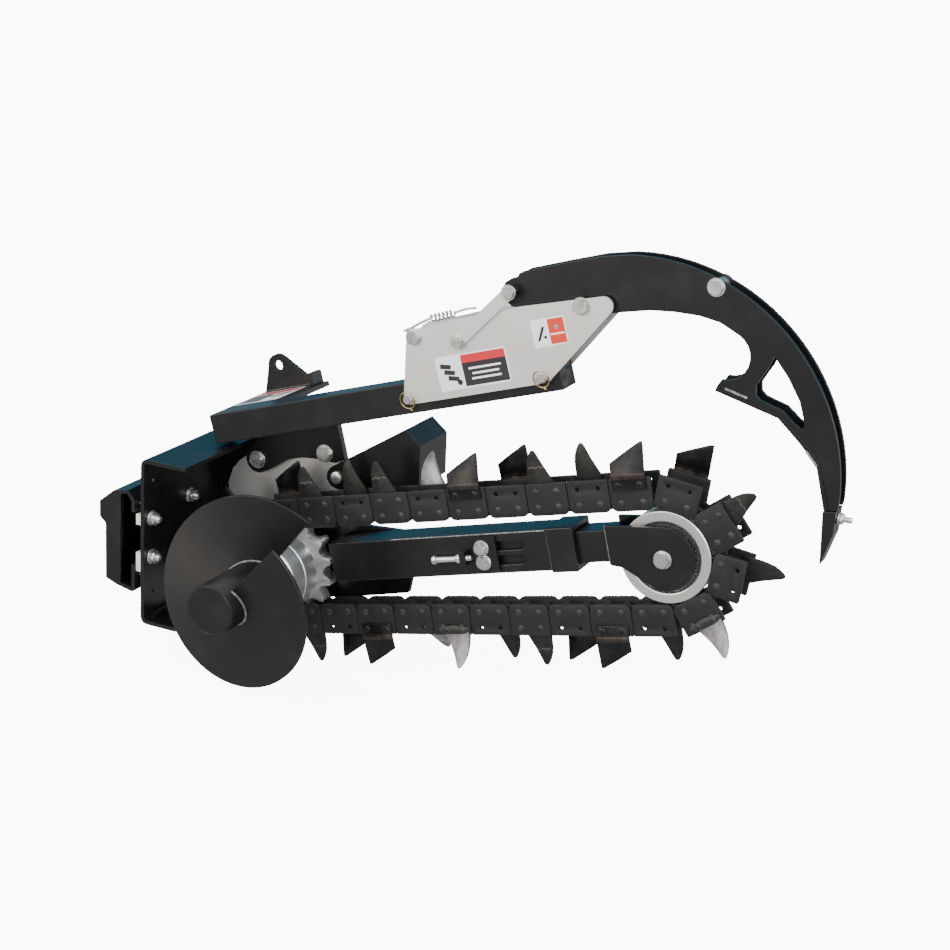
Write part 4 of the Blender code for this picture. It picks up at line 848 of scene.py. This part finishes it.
# ---- drive ----------------------------------------------------------------------------------
def build_auger():
    """Smooth flight welded to its tube, with a turned cap and the root weld."""
    low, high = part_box("auger")
    tube, radius, thick, nose = 0.0505, 0.184, 0.008, 0.024
    cap, end = low[1], high[1]
    shell = turned([(0.0, cap), (tube - 0.004, cap), (tube - 0.0035, cap + 0.0008),
                    (tube - 0.0028, cap + 0.0004), (tube - 0.0008, cap + 0.0008), (tube, cap + 0.0022),
                    (tube, end), (tube - 0.006, end),
                    (tube - 0.006, cap + 0.010), (0.0, cap + 0.010)], 96, DRIVE_X, DRIVE_Z)
    steps = 150
    reach = end - cap - nose - thick - 0.0003
    work = bmesh.new()
    rows = []
    root_line = []
    for i in range(steps + 1):
        share = i / steps
        angle = math.radians(49.5) - math.radians(356) * share
        y = cap + nose + reach * share
        row = []
        for distance, offset in ((tube - 0.003, 0), (radius - 0.0012, 0), (radius, thick * 0.2),
                                 (radius, thick * 0.8), (radius - 0.0012, thick), (tube - 0.003, thick)):
            row.append(work.verts.new((DRIVE_X + distance * math.cos(angle), y + offset,
                                       DRIVE_Z + distance * math.sin(angle))))
        rows.append(row)
        root_line.append((angle, y))
    flight = skinned(work, rows, "flight")
    keep(joined([shell, flight]), "auger_flight", "drive", AUGER_BLACK, ("auger",))
    for label, offset in (("front", -0.0005), ("back", thick + 0.0005)):
        bead = [Vector((DRIVE_X + (tube + 0.0008) * math.cos(a), y + offset,
                        DRIVE_Z + (tube + 0.0008) * math.sin(a))) for a, y in root_line]
        finish = WELD_BRIGHT if label == "front" else WELD_DARK
        keep(weld_bead(bead, 0.0024), "auger_weld_" + label, "drive", finish)
    angle = math.radians(38)
    stub = thread(0, 0, 0.0045, 0.0, 0.008)
    place = Matrix.Translation((DRIVE_X + (tube - 0.001) * math.cos(angle), cap + 0.040,
                                DRIVE_Z + (tube - 0.001) * math.sin(angle)))
    aim = Matrix.Rotation(math.pi / 2 - angle, 4, "Y") @ Matrix.Rotation(-math.pi / 2, 4, "X")
    stub.transform(place @ aim.inverted())
    keep(smooth(stub), "auger_grub_screw", "drive", BOLT_ZINC)


def weld_bead(points, radius, ripple=0.0030):
    """A bead of overlapping ripples along a path in space."""
    dense = []
    for a, b in zip(points, points[1:]):
        a, b = Vector(a), Vector(b)
        steps = max(int((b - a).length / (ripple / 3)), 1)
        dense += [a.lerp(b, i / steps) for i in range(steps)]
    dense.append(Vector(points[-1]))
    curve = bpy.data.curves.new("bead", "CURVE")
    curve.dimensions = "3D"
    curve.bevel_depth = radius
    curve.bevel_resolution = 2
    curve.use_fill_caps = True
    spline = curve.splines.new("POLY")
    spline.points.add(len(dense) - 1)
    for i, (point, place) in enumerate(zip(spline.points, dense)):
        point.co = (*place, 1)
        point.radius = 0.86 + 0.20 * abs(math.sin(i * math.pi / 3)) + draw.uniform(-0.08, 0.08)
    return smooth(baked(placed("bead", curve), 0.00003), 60)


def build_sprocket():
    """Cast drum with a rolled seam, its hub, and the toothed rim with a pocket for each roller."""
    low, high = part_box("sprocket")
    pin = chain_place(CHAIN_PHASE + CHAIN_PITCHES - 2)
    first = math.atan2(pin[1] - DRIVE_Z, pin[0] - DRIVE_X)
    outline = []
    for i in range(SPROCKET_TEETH):
        middle = first + i * SPROCKET_STEP
        cx, cz = SPROCKET_RADIUS * math.cos(middle), SPROCKET_RADIUS * math.sin(middle)
        for step in range(9):
            a = middle + math.radians(252 - step * 18)
            outline.append((DRIVE_X + cx + 0.0112 * math.cos(a), DRIVE_Z + cz + 0.0112 * math.sin(a)))
        for share, reach in ((0.36, 0.0060), (0.45, 0.0090), (0.55, 0.0090), (0.64, 0.0060)):
            a = middle + SPROCKET_STEP * share
            outline.append((DRIVE_X + (SPROCKET_RADIUS + reach) * math.cos(a),
                            DRIVE_Z + (SPROCKET_RADIUS + reach) * math.sin(a)))
    thick = 0.0145
    rim = flat(outline, CHAIN_Y - thick, CHAIN_Y + thick, edge=0.0012)
    drum_end = CHAIN_Y - CHAIN_HALF - 0.004
    seam = (low[1] + drum_end) / 2
    drum = turned([(0.020, low[1]), (0.077, low[1]), (0.080, low[1] + 0.003), (0.080, seam - 0.0020),
                   (0.0785, seam), (0.080, seam + 0.0020), (0.080, drum_end - 0.003), (0.077, drum_end),
                   (0.060, drum_end + 0.0005),
                   (0.058, drum_end + 0.002), (0.058, high[1] - 0.002), (0.056, high[1]), (0.020, high[1])],
                  96, DRIVE_X, DRIVE_Z)
    keep(joined([rim, drum]), "sprocket_turned", "drive", DRUM_ZINC, ("sprocket",))


def build_idler():
    """Plated idler wheel with a dished face."""
    low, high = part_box("idler_wheel")
    a, b = low[1], high[1]
    half = ((0.0131, 0), (0.030, 0), (0.0305, 0.0006), (0.036, 0.008), (0.062, 0.0085), (0.0665, 0.0065),
            (0.0685, 0.0010), (0.0700, 0.0002), (0.0710, 0), (0.0860, 0), (0.0878, 0.0018))
    profile = [(r, a + deep) for r, deep in half] + [(r, b - deep) for r, deep in reversed(half)]
    wheel = smooth(turned(profile, 120, IDLER_X, IDLER_Z), 30)
    keep(wheel, "idler_wheel_turned", "idler", WHEEL_ZINC, ("idler_wheel",))


def build_motor_details():
    """Tie bolts, a body band and hexagon port unions on the hydraulic motor."""
    low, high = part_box("hydraulic_motor")
    end = high[1]
    parts = []
    for i in range(5):
        angle = math.tau * i / 5 + 0.3
        parts.append(hexagon_head(DRIVE_X + 0.036 * math.cos(angle), DRIVE_Z + 0.036 * math.sin(angle), 0.013,
                                  end - 0.0005, end + 0.006, turn=draw.uniform(0, 1)))
    keep(joined(parts), "motor_tie_bolts", "machine_frame", BOLT_ZINC)
    bands = [turned([(0.0505, y), (0.0532, y + 0.0006), (0.0532, y + 0.0034), (0.0505, y + 0.004)],
                    64, DRIVE_X, DRIVE_Z) for y in (low[1] + 0.038, low[1] + 0.060, end - 0.026)]
    keep(joined(bands), "motor_bands", "machine_frame", CAST_IRON)
    for node in ("port_fitting_a", "port_fitting_b"):
        a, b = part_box(node)
        _, y, z = middle_of(node)
        mesh = joined([hexagon_head(0, 0, 0.025, a[0] + 0.012, a[0] + 0.022),
                       thread(0, 0, 0.0095, a[0], a[0] + 0.0125),
                       turned([(0, a[0] + 0.022), (0.0090, a[0] + 0.022), (0.0090, b[0]), (0, b[0])], 24)])
        keep(laid_along_x(mesh, y, z), node + "_union", "machine_frame", BOLT_ZINC, (node,))
    a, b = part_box("guard_bolt")
    x, z = joint_place("guard_swing")
    cap = turned([(0, a[1]), (0.009, a[1]), (0.0125, a[1] + 0.002), (0.013, a[1] + 0.0065),
                  (0.013, a[1] + 0.007), (0.007, a[1] + 0.007), (0.007, b[1] - 0.002), (0.006, b[1]),
                  (0, b[1])], 36, x, z)
    sleeve = turned([(0.0072, -0.0357), (0.013, -0.0357), (0.013, -0.010), (0.0072, -0.010)], 36, x, z)
    keep(joined([cap, sleeve]), "guard_bolt_turned", "machine_frame", BOLT_ZINC, ("guard_bolt",))


# ---- crumber details ------------------------------------------------------------------------
def build_spring():
    """Close-wound extension spring with a hook at each end."""
    a, b = (Vector((middle_of(node)[0], CHAIN_Y, middle_of(node)[2]))
            for node in ("spring_bolt", "link_foot_bolt"))
    along = (b - a).normalized()
    across = Vector((0, 1, 0))
    up = along.cross(across)
    coil_start, coil_end = 0.022, (b - a).length - 0.022
    turns, wire_radius, coil_radius = 13, 0.0017, 0.0098
    points = [a + along * 0.0105 * math.cos(t) * -1 + up * 0.0105 * math.sin(t) for t in
              (math.pi * (0.9 - 0.9 * i / 8) for i in range(9))]
    steps = turns * 16
    for i in range(steps + 1):
        t = i / steps
        angle = math.tau * turns * t
        points.append(a + along * (coil_start + (coil_end - coil_start) * t)
                      + across * coil_radius * math.sin(angle) + up * coil_radius * math.cos(angle))
    points += [b + along * 0.0105 * math.cos(t) + up * 0.0105 * math.sin(t) for t in
               (math.pi * (1.0 - 0.9 * i / 8) for i in range(9))]
    coil = smooth(wire(points, wire_radius, resolution=3))
    keep(coil, "return_spring_coil", "bracket", BOLT_ZINC, ("return_spring",))


def build_spring_lever():
    """Bright wire lever that lies along the bracket's upper edge, with its coil."""
    points = [(0.558, 0.473), (0.5745, 0.482), BRACKET.at(0.046, 0.1345), BRACKET.at(0.072, 0.1405)]
    tail = wire([(x, CHAIN_Y - 0.012, z) for x, z in points], 0.0026)
    coil = []
    for i in range(6 * 16 + 1):
        share = i / 96
        angle = math.tau * 6 * share
        x, z = BRACKET.at(0.072 + 0.050 * share, 0.1395 + 0.0022 * share + 0.0062 * math.sin(angle))
        coil.append((x, CHAIN_Y - 0.012 + 0.0062 * math.cos(angle), z))
    end = wire([(x, CHAIN_Y - 0.012, z) for x, z in (BRACKET.at(0.122, 0.1425), BRACKET.at(0.150, 0.1455),
                                                     BRACKET.at(0.169, 0.1440))], 0.0026)
    keep(smooth(joined([tail, wire(coil, 0.0019, resolution=3), end])), "spring_lever", "bracket", BOLT_ZINC)


def build_hitch_details():
    """Flush end skin of the hitch box, two small bolts through its lips, and the beam's end cap."""
    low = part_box("hitch_plate")[0]
    skin = [(0.036, 0.1005), (0.020, 0.0970), (-0.014, 0.0690), (-0.014, 0.0360), (0.0, 0.0240),
            (0.0, -0.0930), (0.029, -0.1030), (0.036, -0.1042)]
    keep(flat(skin, low[1] - 0.0004, low[1] + 0.0036, edge=0.0006), "hitch_end_skin", "machine_frame", BLACK)
    parts = []
    for z in (0.0745, -0.0760):
        rod = turned([(0, 0.0560), (0.0060, 0.0565), (0.0060, 0.0610), (0.0036, 0.0612), (0.0036, 0.0780),
                      (0.0068, 0.0785), (0.0072, 0.0850), (0.0050, 0.0872), (0, 0.0872)], 24)
        parts.append(laid_along_x(rod, low[1] + 0.020, z))
    keep(joined(parts), "hitch_lip_bolts", "machine_frame", BOLT_ZINC)
    end = 0.7795
    cap = [BEAM.at(s, h) for s, h in ((end - 0.003, -BEAM_INSIDE), (end - 0.0002, -BEAM_INSIDE),
                                      (end - 0.0002, BEAM_INSIDE), (end - 0.003, BEAM_INSIDE))]
    cap = flat(cap, CHAIN_Y - BEAM_INSIDE, CHAIN_Y + BEAM_INSIDE, edge=0.0004)
    keep(cap, "beam_end_cap", "machine_frame", BLACK)


def label_piece(name, line, s, h, y, depth, finish, body, round_off=0.0):
    """A thin rectangle of film on a face, between (low, high) pairs along and square to a line."""
    corners = ((s[0], h[0]), (s[1], h[0]), (s[1], h[1]), (s[0], h[1]))
    if round_off:
        outline = []
        r = round_off
        middles = ((s[1] - r, h[1] - r), (s[0] + r, h[1] - r), (s[0] + r, h[0] + r), (s[1] - r, h[0] + r))
        for number, (cs, ch) in enumerate(middles):
            outline += arc(cs, ch, r, number * 90, number * 90 + 90, 4)
    else:
        outline = list(corners)
    mesh = flat(outline, y - depth, y + 0.00005, edge=0.00005)
    keep(moved(mesh, line.matrix(0)), name, body, finish)


def film_shape(name, line, outline, y, finish, body):
    """A thin film of any outline, given in places along and square to a line."""
    mesh = flat(outline, y, y + 0.0001, edge=0.00003)
    keep(moved(mesh, line.matrix(0)), name, body, finish)


def build_labels():
    """Two blank labels on the near bracket plate, with plain signs only."""
    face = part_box("bracket_plate_near")[0][1]
    top = face - 0.0003
    label_piece("label_large", BRACKET, (0.0725, 0.2210), (0.0025, 0.0680), face, 0.00025, LABEL_WHITE,
                "bracket", 0.003)
    for name, h, finish in (("label_large_panel", (0.0060, 0.0500), LABEL_BLACK),
                            ("label_large_head", (0.0500, 0.0655), LABEL_RED)):
        label_piece(name, BRACKET, (0.1265, 0.2185), h, top, 0.0001, finish, "bracket")
    for row, (h, reach) in enumerate(((0.0365, 0.068), (0.0265, 0.056), (0.0170, 0.062))):
        label_piece("label_large_bar_%d" % row, BRACKET, (0.1725 - reach / 2, 0.1725 + reach / 2),
                    (h, h + 0.0038), top - 0.0001, 0.0001, LABEL_WHITE, "bracket")
    for row, (s, h) in enumerate(((0.080, 0.046), (0.086, 0.034), (0.092, 0.022))):
        band = [(s, h), (s + 0.022, h - 0.004), (s + 0.024, h + 0.004), (s + 0.002, h + 0.009)]
        film_shape("label_large_band_%d" % row, BRACKET, band, top - 0.0001, LABEL_BLACK, "bracket")
    film_shape("label_large_ring", BRACKET, circle(0.1155, 0.0155, 0.0055), top - 0.0001, LABEL_BLACK,
               "bracket")
    label_piece("label_small", BRACKET, (0.2815, 0.3495), (0.0545, 0.1055), face, 0.00025, LABEL_WHITE,
                "bracket", 0.004)
    label_piece("label_small_red", BRACKET, (0.3155, 0.3475), (0.0570, 0.1030), top, 0.0001, LABEL_ORANGE,
                "bracket")
    label_piece("label_small_bar", BRACKET, (0.3175, 0.3455), (0.0735, 0.0765), top - 0.0001, 0.0001,
                LABEL_WHITE, "bracket")
    film_shape("label_small_spot", BRACKET, circle(0.3315, 0.0870, 0.0042), top - 0.0001, LABEL_WHITE,
               "bracket")
    film_shape("label_small_mark", BRACKET, [(0.290, 0.066), (0.295, 0.066), (0.308, 0.090), (0.303, 0.092)],
               top - 0.0001, LABEL_BLACK, "bracket")
    film_shape("label_small_dot", BRACKET, circle(0.3065, 0.0715, 0.0030), top - 0.0001, LABEL_BLACK,
               "bracket")


def build_top_label():
    """A blank label lying on the sloping top plate beside the lift eye."""
    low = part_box("top_plate")[0]
    rows = (("top_label", 0.0, (0.010, 0.118), (0.018, 0.134), LABEL_WHITE),
            ("top_label_head", 0.0001, (0.014, 0.114), (0.104, 0.128), LABEL_RED),
            ("top_label_panel", 0.0001, (0.014, 0.066), (0.026, 0.098), LABEL_BLACK),
            ("top_label_bar_a", 0.0001, (0.072, 0.110), (0.080, 0.094), LABEL_BLACK),
            ("top_label_bar_b", 0.0001, (0.072, 0.104), (0.058, 0.068), LABEL_BLACK))
    for name, lift, s, reach, finish in rows:
        work = bmesh.new()
        bmesh.ops.create_cube(work, size=1.0)
        mesh = finished(work, name)
        size = Matrix.Diagonal((s[1] - s[0], reach[1] - reach[0], 0.0003, 1))
        middle = Matrix.Translation(((s[0] + s[1]) / 2, low[1] + (reach[0] + reach[1]) / 2, 0.0301 + lift))
        mesh.transform(BEAM.matrix(0) @ middle @ size)
        keep(mesh, name, "machine_frame", finish)


def build_arm_details():
    """The tie bolt, the sleeve between the arm plates and the shoe's bolt."""
    bolt_along_y("arm_tie_bolt", "arm", 0.008, 0.008)
    x, _, z = middle_of("arm_tie_bolt")
    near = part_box("crumber_arm_near")[1][1]
    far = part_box("crumber_arm_far")[0][1]
    sleeve = turned([(0.0085, near + 0.0003), (0.0130, near + 0.0003), (0.0130, far - 0.0003),
                     (0.0085, far - 0.0003)], 40, x, z)
    keep(smooth(sleeve), "arm_spacer_sleeve", "arm", BOLT_ZINC)
    low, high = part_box("shoe_bolt")
    y, z = (low[1] + high[1]) / 2, (low[2] + high[2]) / 2
    seat = low[0] + 0.0236
    mesh = joined([turned([(0, low[0]), (0.0085, low[0] + 0.0002), (0.0085, low[0] + 0.003),
                           (0.006, low[0] + 0.004), (0.006, seat), (0, seat)], 28),
                   washer(0, 0, 0.006, 0.0115, seat, seat + 0.0018),
                   hexagon_head(0, 0, 0.0215, seat + 0.0018, seat + 0.0090),
                   thread(0, 0, 0.0058, seat + 0.0085, high[0])])
    keep(laid_along_x(mesh, y, z), "shoe_bolt_set", "arm", BOLT_ZINC, ("shoe_bolt",))


def build_welds():
    """Beads where the real pieces are welded."""
    tube_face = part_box("inner_tube")[0][1]
    edge = 0.216 - 0.088 - 0.015
    run = [(BOOM.at(edge - 0.001, h)[0], tube_face - 0.0030, BOOM.at(edge - 0.001, h)[1])
           for h in (-0.034, -0.015, 0.005, 0.022, 0.040)]
    keep(weld_bead(run, 0.0036), "fork_weld_near", "nose", WELD_BRIGHT)
    collar_s = 0.046 - 0.052
    face = CHAIN_Y - BOOM_HALF
    run = [(BOOM.at(collar_s, h)[0], face - 0.0008, BOOM.at(collar_s, h)[1]) for h in (-0.036, 0.0, 0.036)]
    keep(weld_bead(run, 0.0020), "collar_weld_near", "machine_frame", WELD_DARK)
    run = [(BOOM.at(s, BOOM_HALF)[0], CHAIN_Y - BOOM_HALF + 0.0005, BOOM.at(s, BOOM_HALF)[1])
           for s in (-0.34, -0.2, -0.1, -0.01)]
    keep(weld_bead(run, 0.0013), "boom_seam_near", "machine_frame", WELD_BRIGHT)
    eye_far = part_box("lift_eye")[1][1]
    run = [(BEAM.at(s, 0.0308)[0], eye_far - 0.0125, BEAM.at(s, 0.0308)[1]) for s in (0.008, 0.06, 0.128)]
    keep(weld_bead(run, 0.0022), "lift_eye_weld", "machine_frame", WELD_DARK)
    arm_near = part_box("crumber_arm_near")[0][1]
    for name, places in (("scoop_weld", ((1.352, 0.388), (1.366, 0.373), (1.374, 0.364))),
                         ("scoop_heel_weld", ((1.196, 0.4735), (1.215, 0.4690), (1.238, 0.4632)))):
        keep(weld_bead([(x, arm_near - 0.0006, z) for x, z in places], 0.0026), name, "arm", WELD_BRIGHT)


# ---- set ------------------------------------------------------------------------------------
def plain(name, colour, roughness=0.9, glow=None):
    material = bpy.data.materials.new(name)
    material.use_nodes = True
    shader = material.node_tree.nodes["Principled BSDF"]
    shader.inputs["Base Color"].default_value = (*colour, 1)
    shader.inputs["Roughness"].default_value = roughness
    if glow:
        shader.inputs["Emission Color"].default_value = (*glow[0], 1)
        shader.inputs["Emission Strength"].default_value = glow[1]
    return material


def card(name, size, place, aim, material):
    """A flat card that faces a point."""
    mesh = bpy.data.meshes.new(name)
    w, h = size[0] / 2, size[1] / 2
    mesh.from_pydata([(-w, -h, 0), (w, -h, 0), (w, h, 0), (-w, h, 0)], [], [(0, 1, 2, 3)])
    mesh.materials.append(material)
    obj = placed(name, mesh)
    direction = Vector(aim) - Vector(place)
    obj.matrix_world = Matrix.Translation(place) @ direction.to_track_quat("Z", "Y").to_matrix().to_4x4()
    return obj


def soft_light(name, place, aim, size, power):
    light = bpy.data.lights.new(name, "AREA")
    light.shape = "RECTANGLE"
    light.size, light.size_y = size
    light.energy = power
    obj = placed(name, light)
    direction = Vector(place) - Vector(aim)
    obj.matrix_world = Matrix.Translation(place) @ direction.to_track_quat("Z", "Y").to_matrix().to_4x4()


def build_set():
    """Pale floor, soft lights, and a cool card that the upward faces mirror."""
    floor_z = cad_box[0][2] - 0.004
    middle = (0.70, -0.05, 0.25)
    floor = card("floor", (60, 60), (0.7, 0, floor_z), (0.7, 0, floor_z + 1),
                 plain("floor_white", (0.90, 0.90, 0.90), 0.9, ((1, 1, 1), 9.0)))
    floor.visible_glossy = False
    floor.visible_diffuse = False
    mirrored = (("cool", (20, 7.0), (-2.2, 6.4, 3.0), middle, (0.014, 0.118, 0.185), 2.3),
                ("warm", (2.2, 1.0), (-1.7, -4.2, 0.75), middle, (1.0, 0.86, 0.68), 6.0),
                ("low", (40, 40), (0.7, 0, floor_z - 0.3), (0.7, 0, floor_z + 0.7), (1, 1, 1), 0.50))
    for name, size, place, aim, colour, strength in mirrored:
        material = plain(name + "_glow", (0, 0, 0), 1.0, (colour, strength))
        glow = card(name + "_card", size, place, aim, material)
        glow.visible_camera = False
        glow.visible_diffuse = False
        glow.visible_shadow = False
    world = bpy.data.worlds.new("studio")
    world.use_nodes = True
    world.node_tree.nodes["Background"].inputs[0].default_value = (1.0, 1.0, 1.0, 1)
    world.node_tree.nodes["Background"].inputs[1].default_value = 1.45
    bpy.context.scene.world = world
    soft_light("key", (-1.6, -3.6, 3.4), middle, (2.6, 2.0), 130)
    soft_light("fill", (3.4, -2.6, 2.2), middle, (2.4, 2.0), 60)


def build_camera():
    """The camera stands at the near right, a little above, and is tilted slightly."""
    yaw, pitch, roll = math.radians(24.36), math.radians(18.3), math.radians(3.55)
    right = Vector((math.cos(yaw), math.sin(yaw), 0))
    back = Vector((math.sin(yaw) * math.cos(pitch), -math.cos(yaw) * math.cos(pitch), math.sin(pitch)))
    up = back.cross(right)
    tilted_right = right * math.cos(roll) + up * math.sin(roll)
    tilted_up = up * math.cos(roll) - right * math.sin(roll)
    data = bpy.data.cameras.new("camera")
    data.lens = 70.4
    data.sensor_width = 36.0
    camera = placed("camera", data)
    turn = Matrix((tilted_right, tilted_up, back)).transposed().to_4x4()
    camera.matrix_world = Matrix.Translation((2.1009, -3.1464, 1.3234)) @ turn
    bpy.context.scene.camera = camera


dress_cad_nodes()
build_fasteners()
build_lock_pins()
build_jack()
build_chain()
build_auger()
build_sprocket()
build_idler()
build_motor_details()
build_spring()
build_spring_lever()
build_hitch_details()
build_labels()
build_top_label()
build_arm_details()
build_welds()
build_set()
build_camera()
